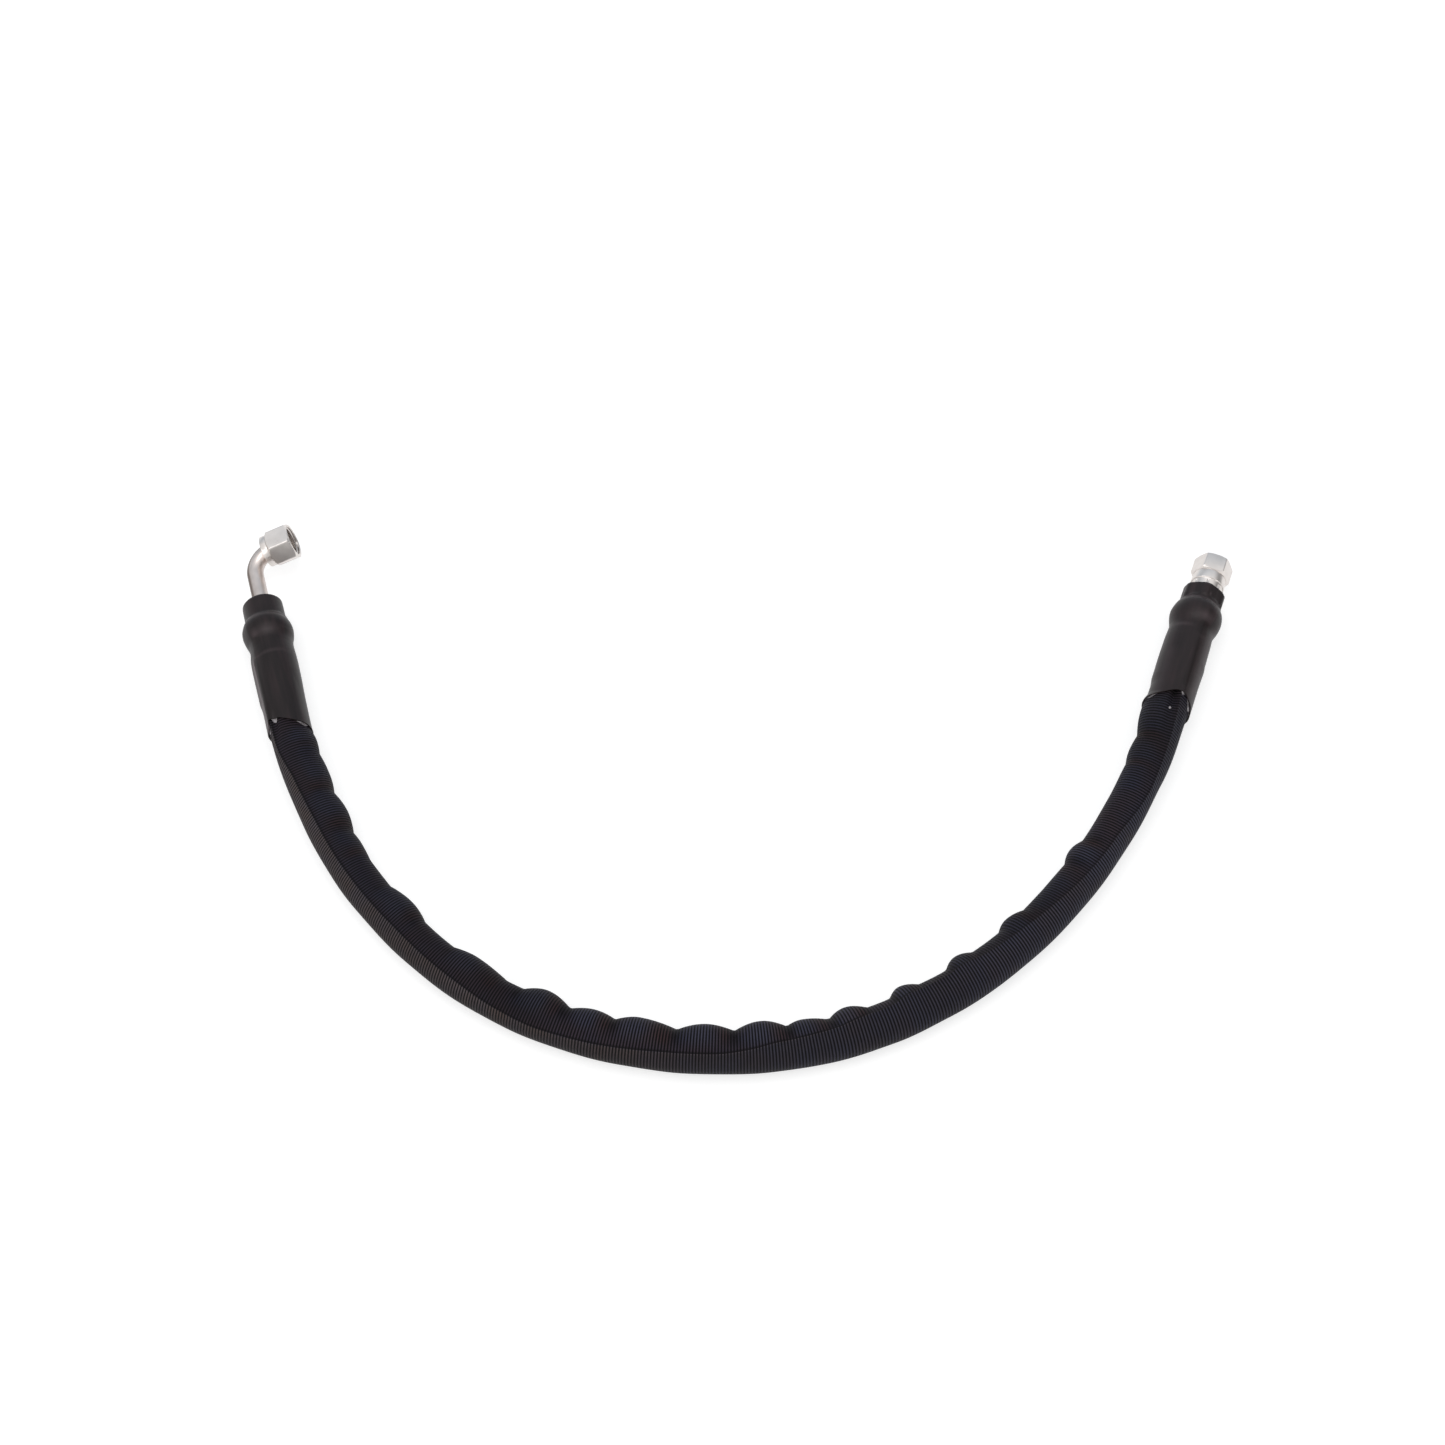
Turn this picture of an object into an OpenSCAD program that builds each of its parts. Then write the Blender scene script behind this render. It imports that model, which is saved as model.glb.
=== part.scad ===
// Hydraulic hose assembly lying flat in a U.
// A two-wire-braid rubber hose runs inside a woven protective sleeve. One end has a 90 degree
// swept elbow with a swivel nut, the other a straight fitting with a swivel nut. Heat-shrink
// tubes hold the folded ends of the sleeve on the crimped ferrules.
// Units are millimetres. The assembly rests on the plane z = 0.

/* [Hose] */
// Bore of the hose, across the flats
hose_bore = 9.5; // [8:0.1:13]
// Wall of the rubber inner tube
liner_wall = 1.9; // [1:0.1:3]
// Thickness of each wire braid
braid_wall = 0.7; // [0.4:0.1:1.2]
// Thickness of the rubber between the two braids
interlayer_wall = 0.3; // [0.2:0.1:1]
// Thickness of the rubber cover
cover_wall = 1.15; // [0.8:0.05:2.5]

/* [Protective sleeve] */
// Room all round between the hose and the sleeve
sleeve_slack = 1.65; // [1.2:0.05:3]
// Thickness of the woven cloth
sleeve_wall = 1.25; // [0.6:0.05:2]
// Distance from the elbow ferrule's tail to the end of the sleeve's fold
elbow_fold_gap = 5; // [1:0.5:16]
// Distance from the straight ferrule's tail to the end of the sleeve's fold
straight_fold_gap = 18.5; // [1:0.5:22]
// Length of bare ferrule in front of the fold at the elbow
elbow_bare = 14; // [0.5:0.5:18]
// Length of bare ferrule in front of the fold at the straight fitting
straight_bare = 4.5; // [0.5:0.5:9]

/* [Crimped ferrules] */
// Wall of the ferrule outside the hose
ferrule_wall = 2.15; // [1.5:0.05:4]
// Length of the ferrule
ferrule_length = 36; // [30:1:50]
// Thickness of the ferrule's front wall
ferrule_front = 3.5; // [3:0.1:6]
// Number of gripping grooves inside the ferrule
ferrule_grooves = 6; // [3:1:7]

/* [Hose tails] */
// Bore of both hose tails
tail_bore = 7; // [5:0.1:7.5]
// Length of the barbed tail inside the hose
tail_length = 31; // [24:1:45]
// Number of barbs on each tail
tail_barbs = 6; // [3:1:8]
// Diameter of the boss that the ferrule locks on
boss_d = 14; // [13.8:0.1:17]
// Length of the straight tail's wrench hexagon
wrench_length = 9; // [5:0.5:15]
// Wrench size of the straight tail's hexagon
wrench_across_flats = 22; // [20:0.5:24]
// Turn of that hexagon about the tail's axis
wrench_turn = 5; // [0:1:60]

/* [Heat shrink] */
// Length of each heat-shrink tube
shrink_length = 96; // [75:1:98]
// Wall of the shrunk tube
shrink_wall = 0.8; // [0.5:0.1:1.5]
// Thickness of the hot-melt adhesive inside it
adhesive_wall = 0.5; // [0.3:0.1:1]

/* [Elbow] */
// Outside diameter of the bent tube
elbow_tube_d = 10; // [9:0.1:11.4]
// Bore of the bent tube
elbow_tube_bore = 7; // [5:0.1:8]
// Bend radius at the tube's centre line
bend_radius = 12; // [8:0.5:20]
// Distance from the hose's end to the corner where the tube's two axes cross
elbow_reach = 43.5; // [36:0.5:70]
// Angle by which the elbow's outlet is raised from the horizontal
elbow_rise = 17.5; // [0:0.5:60]

/* [Swivel nuts] */
// Wrench size of both nuts
nut_across_flats = 22; // [21:0.5:30]
// Minor diameter of the nuts' 3/4-16 thread
thread_minor_d = 17.4; // [17:0.1:18]
// Depth of clear thread in the elbow's nut
elbow_thread = 9; // [6:0.5:16]
// Depth of clear thread in the straight fitting's nut
straight_thread = 11.5; // [6:0.5:16]
// Diameter of the round collar behind the elbow nut's hexagon
elbow_collar_d = 20.5; // [20:0.1:22]
// Length of that collar
elbow_collar_length = 4.5; // [2:0.5:8]
// Diameter of the round collar behind the straight nut's hexagon
straight_collar_d = 21.5; // [20:0.1:22]
// Length of that collar
straight_collar_length = 7; // [3:0.5:8]
// Diameter of the crimped skirt behind that collar
skirt_d = 20; // [19.6:0.1:21]
// Length of the crimped skirt
skirt_length = 6; // [5:0.5:9]
// Thickness of each nut's rear wall, which pulls on the seat
nut_rear_wall = 4; // [3:0.5:6]
// Length of the elbow seat's head inside its nut
elbow_head_length = 5.5; // [5.2:0.1:10]
// Length of the straight seat's head inside its nut
straight_head_length = 8.5; // [5.2:0.1:12]
// Turn of the elbow nut about its own axis
elbow_nut_turn = 5; // [0:1:60]
// Turn of the straight nut about its own axis
straight_nut_turn = 35; // [0:1:60]

/* [Hidden] */
$fn = 64;

// Centre line of the hose from the elbow's end to the straight fitting's end. The first three
// points lie on one straight line, and so do the last three.
ROUTE = [
    [-300, 130, 15.5], [-287, 83, 15.5], [-274, 36, 15.5],
    [-256, -11, 13], [-227, -63, 12], [-188, -108, 12], [-142, -144, 12], [-88, -169, 12],
    [-30, -180, 12], [30, -178, 12], [86, -160, 12], [137, -131, 12], [181, -91, 12],
    [217, -44, 12], [246, 7, 13],
    [262, 48, 15.5], [277, 89, 15.5], [292, 130, 15.5]
];
LAST = len(ROUTE) - 1;

// Swept tubes have this many sides, with one side flat on the ground.
SIDES = 12;
HALF_SIDE = 180 / SIDES;
// The flats of a swept bore touch a circle of radius r when its corners lie on this radius.
function around(r) = r / cos(HALF_SIDE);

// Small clearances between pieces that touch on the real assembly.
PLY_GAP = 0.03;
FIT_GAP = 0.05;
RUNNING_GAP = 0.08;
END_GAP = 0.1;

// Cutting shapes run this far past the faces they cut, or reach this far into their neighbour.
CUT = 1;
// A turned corner stays this far off the corners of the hexagon it goes round.
SKIN = 0.01;

// Radii of the hose from its bore outwards.
bore_r = hose_bore / 2;
liner_r = bore_r + liner_wall;
inner_braid_r = liner_r + braid_wall;
interlayer_r = inner_braid_r + interlayer_wall;
outer_braid_r = interlayer_r + braid_wall;
cover_r = outer_braid_r + cover_wall;

// Radii of what lies round the hose.
ferrule_r = cover_r + ferrule_wall;
sleeve_in_r = cover_r + sleeve_slack;
sleeve_out_r = sleeve_in_r + sleeve_wall;
single_r = ferrule_r + sleeve_wall;
fold_r = ferrule_r + 2 * sleeve_wall;

// The straight fitting's heat-shrink ends this far past the hexagon, and this far short of the nut.
RIM_OVERHANG = 0.5;

// Stations along a fitting are measured from the hose's end face, positive away from the hose.
ferrule_tail = ferrule_front - ferrule_length;
elbow_rim = ferrule_front + adhesive_wall + shrink_wall;
wrench_end = ferrule_front + wrench_length;
straight_rim = wrench_end + RIM_OVERHANG;
elbow_mouth = elbow_rim - shrink_length;
straight_mouth = straight_rim - shrink_length;
elbow_fold_front = ferrule_front - elbow_bare;
straight_fold_front = ferrule_front - straight_bare;
elbow_fold_end = ferrule_tail + elbow_fold_gap;
straight_fold_end = ferrule_tail + straight_fold_gap;
// Lengths over which the sleeve and the heat-shrink change diameter. The sleeve keeps to the
// ferrule's diameter for TAIL_LAP behind its tail.
STEP_RUN = 2;
TAPER_RUN = 5;
TAIL_LAP = 1;
// Rounding of the ferrule's front edge, and the hole in the heat-shrink that closes over it.
FERRULE_SHOULDER = 1.8;
LIP_HOLE_R = 9;
// Adhesive squeezed out beyond the heat-shrink's mouth.
ADHESIVE_LIP = 1;

// Seats and nuts.
tube_r = elbow_tube_d / 2;
SEAT_SLEEVE_WALL = 1.1;
SEAT_HEAD_GAP = 0.4;
FLARE_ANGLE = 37;
journal_r = tube_r + SEAT_SLEEVE_WALL;
thread_r = thread_minor_d / 2;
head_r = thread_r - SEAT_HEAD_GAP;
FLARE_RIM = 1;
flare_r = head_r - FLARE_RIM;
THREAD_RELIEF = 0.4;
THREAD_GAP = 0.4;
relief_r = thread_r + THREAD_RELIEF;
MOUTH_CHAMFER = 0.8;
FACE_STEP = 0.3;
COLLAR_CHAMFER = 0.6;
// Bottom of the socket that the bent tube is brazed into.
SOCKET_FLOOR = 0.5;
// Staking marks round the straight nut's skirt.
STAKE_MARKS = 8;
STAKE_DEPTH = 0.4;
STAKE_D = 2;
// Their distance from the nut's back, as a share of the skirt.
STAKE_PLACE = 0.6;
// The elbow nut's stations are measured along its axis from the corner of the elbow.
NUT_OVERHANG = 2;
elbow_nut_back = bend_radius - NUT_OVERHANG;
elbow_shoulder = elbow_nut_back + nut_rear_wall;
elbow_head_front = elbow_shoulder + END_GAP + elbow_head_length;
elbow_nut_front = elbow_head_front + THREAD_GAP + elbow_thread + MOUTH_CHAMFER;
// The straight nut's stations are measured from the hose's end, as the tail's are.
straight_nut_back = straight_rim + RIM_OVERHANG;
straight_shoulder = straight_nut_back + nut_rear_wall;
straight_head_front = straight_shoulder + END_GAP + straight_head_length;
straight_nut_front = straight_head_front + THREAD_GAP + straight_thread + MOUTH_CHAMFER;

// Directions.
function unit(v) = v / norm(v);
function heading(v) = atan2(v[1], v[0]);

// Frame of a fitting: z runs out of the hose's end, and -x is up.
module at_end(first, second) {
    translate(ROUTE[first])
        rotate([0, 90, heading(ROUTE[first] - ROUTE[second])])
            children();
}
module at_elbow_end() { at_end(0, 1) children(); }
module at_straight_end() { at_end(LAST, LAST - 1) children(); }

// Frame of the elbow's bend: z runs out of the hose's end and x along the outlet.
module at_elbow_plane() { at_elbow_end() rotate([0, 0, 270 - elbow_rise]) children(); }
// Frame of the elbow's outlet: z runs along the outlet from the corner.
module at_elbow_outlet() {
    at_elbow_plane()
        translate([0, 0, elbow_reach])
            rotate([0, 90, 0])
                children();
}

// A list from its last item to its first.
function reversed(list) = [for (i = [len(list) - 1 : -1 : 0]) list[i]];

// A solid of revolution from a closed outline of [radius, station] points.
module turned(outline) { rotate_extrude() polygon(outline); }

// ---- swept tubes ---------------------------------------------------------------------------
// A section is [centre, direction, inner radius, outer radius], its radii at the corners.
function corner(section, r, k) =
    let (
        along = section[1],
        side = unit(cross(along, [0, 0, 1])),
        up = cross(side, along),
        a = (k + 0.5) * 2 * HALF_SIDE
    )
    section[0] + r * (cos(a) * side + sin(a) * up);

module swept_tube(sections) {
    n = SIDES;
    last = len(sections) - 1;
    outer = [for (s = sections) for (k = [0 : n - 1]) corner(s, s[3], k)];
    inner = [for (s = sections) for (k = [0 : n - 1]) corner(s, s[2], k)];
    shift = len(outer);
    outer_faces = [
        for (i = [0 : last - 1]) for (k = [0 : n - 1])
            let (a = i * n + k, b = i * n + (k + 1) % n)
            each [[a, a + n, b], [b, a + n, b + n]]
    ];
    inner_faces = [for (f = outer_faces) [f[0] + shift, f[2] + shift, f[1] + shift]];
    start_faces = [
        for (k = [0 : n - 1])
            let (b = (k + 1) % n)
            each [[k, b, k + shift], [b, b + shift, k + shift]]
    ];
    end_faces = [
        for (k = [0 : n - 1])
            let (a = last * n + k, b = last * n + (k + 1) % n)
            each [[a, a + shift, b], [b, a + shift, b + shift]]
    ];
    polyhedron(concat(outer, inner), concat(outer_faces, inner_faces, start_faces, end_faces));
}

// Direction of the route at one of its points.
function direction(i) =
    i == 0 ? unit(ROUTE[1] - ROUTE[0])
    : i == LAST ? unit(ROUTE[LAST] - ROUTE[LAST - 1])
    : unit(unit(ROUTE[i] - ROUTE[i - 1]) + unit(ROUTE[i + 1] - ROUTE[i]));

// One ply of the hose, from end face to end face.
module hose_ply(inner_r, outer_r) {
    bends = [for (i = [2 : LAST - 2]) i];
    swept_tube([for (i = concat([0], bends, [LAST])) [ROUTE[i], direction(i), inner_r, outer_r]]);
}

// Sections of the sleeve on one ferrule, from its folded end towards the open hose, as
// [station, inner radius, outer radius].
function fold_sections(front, end) = [
    [front, around(ferrule_r + FIT_GAP), fold_r],
    [end, around(ferrule_r + FIT_GAP), fold_r],
    [end - STEP_RUN, around(ferrule_r + FIT_GAP), single_r],
    [ferrule_tail - TAIL_LAP, around(ferrule_r + FIT_GAP), single_r],
    [ferrule_tail - TAIL_LAP - TAPER_RUN, sleeve_in_r, sleeve_out_r]
];

// ---- hose ----------------------------------------------------------------------------------
module hose_inner_tube() {
    color("#1b1b1c")
        hose_ply(around(bore_r), liner_r);
}

module hose_inner_braid() {
    color("#b39a63")
        hose_ply(liner_r + PLY_GAP, inner_braid_r);
}

module hose_interlayer() {
    color("#222223")
        hose_ply(inner_braid_r + PLY_GAP, interlayer_r);
}

module hose_outer_braid() {
    color("#b39a63")
        hose_ply(interlayer_r + PLY_GAP, outer_braid_r);
}

module hose_cover() {
    color("#1f1f20")
        hose_ply(outer_braid_r + PLY_GAP, cover_r);
}

module abrasion_sleeve() {
    into_hose = direction(0);
    out_of_hose = direction(LAST);
    elbow_cuff = fold_sections(elbow_fold_front, elbow_fold_end);
    straight_cuff = fold_sections(straight_fold_front, straight_fold_end);
    n = len(straight_cuff) - 1;
    color("#26252b")
        swept_tube(concat(
            [for (s = elbow_cuff) [ROUTE[0] - s[0] * into_hose, into_hose, s[1], s[2]]],
            [for (i = [2 : LAST - 2]) [ROUTE[i], direction(i), sleeve_in_r, sleeve_out_r]],
            [for (k = [n : -1 : 0])
                let (s = straight_cuff[k])
                [ROUTE[LAST] + s[0] * out_of_hose, out_of_hose, s[1], s[2]]]
        ));
}

// ---- hose tails, ferrules, adhesive and heat-shrink -----------------------------------------
// Outline of the barbed part of a tail, from its nose to the hose's end face. Each barb rises
// over BARB_RISE of its pitch and falls over the rest.
BARB_DEPTH = 0.45;
BARB_RISE = 0.8;
function barb_outline() =
    let (pitch = tail_length / (tail_barbs + 1))
    concat(
        [[tail_bore / 2, -tail_length], [bore_r - BARB_DEPTH, -tail_length]],
        [for (i = [0 : tail_barbs - 1])
            let (z = -tail_length + i * pitch)
            each [[bore_r, z + pitch * BARB_RISE], [bore_r - BARB_DEPTH, z + pitch]]],
        [[bore_r - BARB_DEPTH, 0]]
    );

// Lock groove in the boss, and the lip of the ferrule that fills it.
GROOVE_DEPTH = 0.6;
GROOVE_START = 1;
GROOVE_WIDTH = 1.5;
boss_r = boss_d / 2;
function boss_outline(top) = [
    [boss_r, 0],
    [boss_r, GROOVE_START],
    [boss_r - GROOVE_DEPTH, GROOVE_START],
    [boss_r - GROOVE_DEPTH, GROOVE_START + GROOVE_WIDTH],
    [boss_r, GROOVE_START + GROOVE_WIDTH],
    [boss_r, top]
];

module elbow_hose_tail() {
    color("#9a9792")
        at_elbow_end()
            turned(concat(
                barb_outline(),
                boss_outline(elbow_rim),
                [[tube_r + FIT_GAP, elbow_rim], [tube_r + FIT_GAP, SOCKET_FLOOR]],
                [[tail_bore / 2, SOCKET_FLOOR]]
            ));
}

// Gripping grooves in the ferrule, the lands between them, and the plain bore at both ends.
GRIP_DEPTH = 0.6;
GRIP_LAND = 2;
GRIP_ENDS = 3;
TAIL_CHAMFER = 0.5;
module crimped_ferrule() {
    lip_r = boss_r - GROOVE_DEPTH + FIT_GAP;
    grip_r = cover_r + FIT_GAP;
    groove_r = grip_r + GRIP_DEPTH;
    pitch = (ferrule_length - ferrule_front - GRIP_ENDS) / ferrule_grooves;
    edge = ferrule_front - FERRULE_SHOULDER / 2;
    turned(concat(
        [[boss_r + FIT_GAP, FIT_GAP], [boss_r + FIT_GAP, GROOVE_START + FIT_GAP]],
        [[lip_r, GROOVE_START + FIT_GAP], [lip_r, GROOVE_START + GROOVE_WIDTH - FIT_GAP]],
        [[boss_r + FIT_GAP, GROOVE_START + GROOVE_WIDTH - FIT_GAP], [boss_r + FIT_GAP, ferrule_front]],
        [[ferrule_r - FERRULE_SHOULDER, ferrule_front], [ferrule_r, edge]],
        [[ferrule_r, ferrule_tail + TAIL_CHAMFER], [ferrule_r - TAIL_CHAMFER, ferrule_tail]],
        [[grip_r, ferrule_tail]],
        [for (i = [0 : ferrule_grooves - 1])
            let (z = ferrule_tail + GRIP_LAND + i * pitch, next = z + pitch - GRIP_LAND)
            each [[grip_r, z], [groove_r, z + GRIP_DEPTH], [groove_r, next], [grip_r, next + GRIP_DEPTH]]],
        [[grip_r, FIT_GAP]]
    ));
}

module elbow_ferrule() { color("#a5a29c") at_elbow_end() crimped_ferrule(); }
module straight_ferrule() { color("#a5a29c") at_straight_end() crimped_ferrule(); }

// Outline round the sleeve on the hose and on the ferrule, grown outwards by t, from the mouth of
// the heat-shrink to the front edge of the sleeve's fold, as [radius, station].
function sleeve_outline(fold_front, fold_end, mouth, t) = [
    [0, mouth],
    [sleeve_out_r + t, mouth],
    [sleeve_out_r + t, ferrule_tail - TAIL_LAP - TAPER_RUN],
    [single_r + t, ferrule_tail - TAIL_LAP],
    [single_r + t, fold_end - STEP_RUN],
    [fold_r + t, fold_end],
    [fold_r + t, fold_front + t / 2]
];

// Outline round the ferrule's front, grown by t: its bare length, if the fold leaves one, and
// its rounded front edge.
function front_outline(fold_front, t) =
    let (
        start = fold_front + t / 2 + STEP_RUN,
        edge = ferrule_front - FERRULE_SHOULDER / 2,
        front = ferrule_front + t
    )
    concat(
        start < edge ? [[ferrule_r + t, start], [ferrule_r + t, edge]] : [],
        [[ferrule_r + t - FERRULE_SHOULDER, front], [0, front]]
    );

// Everything inside the heat-shrink at the elbow, grown by t. It closes over the ferrule's front.
module elbow_core(t, extra) {
    turned(concat(
        sleeve_outline(elbow_fold_front, elbow_fold_end, elbow_mouth - extra, t),
        front_outline(elbow_fold_front, t)
    ));
}

// Everything inside the heat-shrink at the straight fitting, grown by t. Its neck is a hexagon.
module straight_core(t, extra) {
    turned(concat(
        sleeve_outline(straight_fold_front, straight_fold_end, straight_mouth - extra, t),
        front_outline(straight_fold_front, t)
    ));
    translate([0, 0, ferrule_front - t])
        rotate([0, 0, wrench_turn])
            hexagon(wrench_across_flats + 2 * t, straight_rim - ferrule_front + t + extra);
}

// A hexagonal prism standing on z = 0.
module hexagon(across_flats, height) {
    cylinder(d = across_flats / cos(30), h = height, $fn = 6);
}

module elbow_layer(inner_t, outer_t, lip) {
    at_elbow_end()
        difference() {
            union() {
                elbow_core(outer_t, 0);
                translate([0, 0, elbow_mouth - lip])
                    cylinder(r = sleeve_out_r + outer_t, h = lip + CUT);
            }
            elbow_core(inner_t, lip + CUT);
            translate([0, 0, ferrule_front])
                cylinder(r = LIP_HOLE_R, h = ferrule_front + outer_t);
        }
}

module straight_layer(inner_t, outer_t, lip) {
    at_straight_end()
        difference() {
            union() {
                straight_core(outer_t, 0);
                translate([0, 0, straight_mouth - lip])
                    cylinder(r = sleeve_out_r + outer_t, h = lip + CUT);
            }
            straight_core(inner_t, lip + CUT);
        }
}

module elbow_adhesive() {
    color("#d8d4c6")
        elbow_layer(FIT_GAP, adhesive_wall, ADHESIVE_LIP);
}

module straight_adhesive() {
    color("#d8d4c6")
        straight_layer(FIT_GAP, adhesive_wall, ADHESIVE_LIP);
}

module elbow_heat_shrink() {
    color("#2c2a29")
        elbow_layer(adhesive_wall + PLY_GAP, adhesive_wall + shrink_wall, 0);
}

module straight_heat_shrink() {
    color("#2c2a29")
        straight_layer(adhesive_wall + PLY_GAP, adhesive_wall + shrink_wall, 0);
}

// ---- elbow tube and seats --------------------------------------------------------------------
// The bent tube's outer surface or its bore, as three lengths that meet face to face.
module elbow_rod(r, start, finish) {
    straight_run = elbow_reach - bend_radius;
    at_elbow_plane() {
        translate([0, 0, start])
            cylinder(r = r, h = straight_run - start);
        translate([bend_radius, 0, straight_run])
            rotate([90, 0, 0])
                rotate([0, 0, 90])
                    rotate_extrude(angle = 90)
                        translate([bend_radius, 0])
                            circle(r = r);
    }
    at_elbow_outlet()
        translate([0, 0, bend_radius])
            cylinder(r = r, h = finish - bend_radius);
}

module elbow_tube() {
    start = SOCKET_FLOOR + FIT_GAP;
    finish = elbow_shoulder - FIT_GAP;
    color("#9d9993")
        difference() {
            elbow_rod(tube_r, start, finish);
            elbow_rod(elbow_tube_bore / 2, start - CUT, finish + CUT);
        }
}

// Mouth of a seat: the flare from its bore to its front face, as [radius, station].
function flare(seat_bore_r, front) = [
    [flare_r, front],
    [seat_bore_r, front - (flare_r - seat_bore_r) / tan(FLARE_ANGLE)]
];

module elbow_flare_seat() {
    color("#aaa69f")
        at_elbow_outlet()
            turned(concat(
                [[tube_r + FIT_GAP, bend_radius], [journal_r, bend_radius]],
                [[journal_r, elbow_shoulder + END_GAP], [head_r, elbow_shoulder + END_GAP]],
                [[head_r, elbow_head_front]],
                flare(elbow_tube_bore / 2, elbow_head_front),
                [[elbow_tube_bore / 2, elbow_shoulder], [tube_r + FIT_GAP, elbow_shoulder]]
            ));
}

module straight_hose_tail() {
    color("#aaa69f")
        at_straight_end()
            difference() {
                union() {
                    turned(concat(
                        [[0, -tail_length]],
                        barb_outline(),
                        boss_outline(ferrule_front + FIT_GAP),
                        [[journal_r, ferrule_front + FIT_GAP], [journal_r, straight_shoulder + END_GAP]],
                        [[head_r, straight_shoulder + END_GAP], [head_r, straight_head_front]],
                        [[0, straight_head_front]]
                    ));
                    translate([0, 0, ferrule_front + FIT_GAP])
                        rotate([0, 0, wrench_turn])
                            hexagon(wrench_across_flats, wrench_length - FIT_GAP);
                }
                turned(concat(
                    [[0, -tail_length - CUT], [tail_bore / 2, -tail_length - CUT]],
                    reversed(flare(tail_bore / 2, straight_head_front)),
                    [[flare_r, straight_head_front + CUT], [0, straight_head_front + CUT]]
                ));
            }
}

// ---- swivel nuts ------------------------------------------------------------------------------
// A hexagonal nut blank between two stations, its corners turned off at 30 degrees at both ends.
module nut_hexagon(from, to, turn) {
    corner_r = nut_across_flats / 2 / cos(30);
    face_r = nut_across_flats / 2 - FACE_STEP;
    rise = (corner_r - face_r) * tan(30);
    intersection() {
        translate([0, 0, from])
            rotate([0, 0, turn])
                hexagon(nut_across_flats, to - from);
        turned([
            [0, from], [face_r, from], [corner_r + SKIN, from + rise],
            [corner_r + SKIN, to - rise], [face_r, to], [0, to]
        ]);
    }
}

// Hollow of a nut: rear bore on the journal, room for the seat's head, and the threaded bore.
module nut_hollow(back, shoulder, head_front, front) {
    turned([
        [0, back - CUT],
        [journal_r + RUNNING_GAP, back - CUT],
        [journal_r + RUNNING_GAP, shoulder],
        [relief_r, shoulder],
        [relief_r, head_front + THREAD_GAP],
        [thread_r, head_front + THREAD_GAP],
        [thread_r, front - MOUTH_CHAMFER],
        [thread_r + MOUTH_CHAMFER, front],
        [thread_r + MOUTH_CHAMFER, front + CUT],
        [0, front + CUT]
    ]);
}

module elbow_swivel_nut() {
    collar_r = elbow_collar_d / 2;
    collar_end = elbow_nut_back + elbow_collar_length;
    color("#b8b3ab")
        at_elbow_outlet()
            difference() {
                union() {
                    turned([
                        [0, elbow_nut_back],
                        [collar_r - COLLAR_CHAMFER, elbow_nut_back],
                        [collar_r, elbow_nut_back + COLLAR_CHAMFER],
                        [collar_r, collar_end + CUT],
                        [0, collar_end + CUT]
                    ]);
                    nut_hexagon(collar_end, elbow_nut_front, elbow_nut_turn);
                }
                nut_hollow(elbow_nut_back, elbow_shoulder, elbow_head_front, elbow_nut_front);
            }
}

module straight_swivel_nut() {
    skirt_r = skirt_d / 2;
    collar_r = straight_collar_d / 2;
    skirt_end = straight_nut_back + skirt_length;
    collar_end = skirt_end + straight_collar_length;
    stake_station = straight_nut_back + skirt_length * STAKE_PLACE;
    color("#b8b3ab")
        at_straight_end()
            difference() {
                union() {
                    turned([
                        [0, straight_nut_back],
                        [skirt_r - COLLAR_CHAMFER, straight_nut_back],
                        [skirt_r, straight_nut_back + 2 * COLLAR_CHAMFER],
                        [skirt_r, skirt_end],
                        [collar_r - COLLAR_CHAMFER / 2, skirt_end],
                        [collar_r, skirt_end + COLLAR_CHAMFER / 2],
                        [collar_r, collar_end + CUT],
                        [0, collar_end + CUT]
                    ]);
                    nut_hexagon(collar_end, straight_nut_front, straight_nut_turn);
                }
                nut_hollow(straight_nut_back, straight_shoulder, straight_head_front, straight_nut_front);
                for (i = [0 : STAKE_MARKS - 1])
                    rotate([0, 0, i * 360 / STAKE_MARKS])
                        translate([skirt_r - STAKE_DEPTH, 0, stake_station])
                            rotate([0, 90, 0])
                                cylinder(d = STAKE_D, h = STAKE_DEPTH + CUT);
            }
}

hose_inner_tube();
hose_inner_braid();
hose_interlayer();
hose_outer_braid();
hose_cover();
abrasion_sleeve();
elbow_hose_tail();
elbow_tube();
elbow_flare_seat();
elbow_swivel_nut();
elbow_ferrule();
elbow_adhesive();
elbow_heat_shrink();
straight_hose_tail();
straight_swivel_nut();
straight_ferrule();
straight_adhesive();
straight_heat_shrink();
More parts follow.
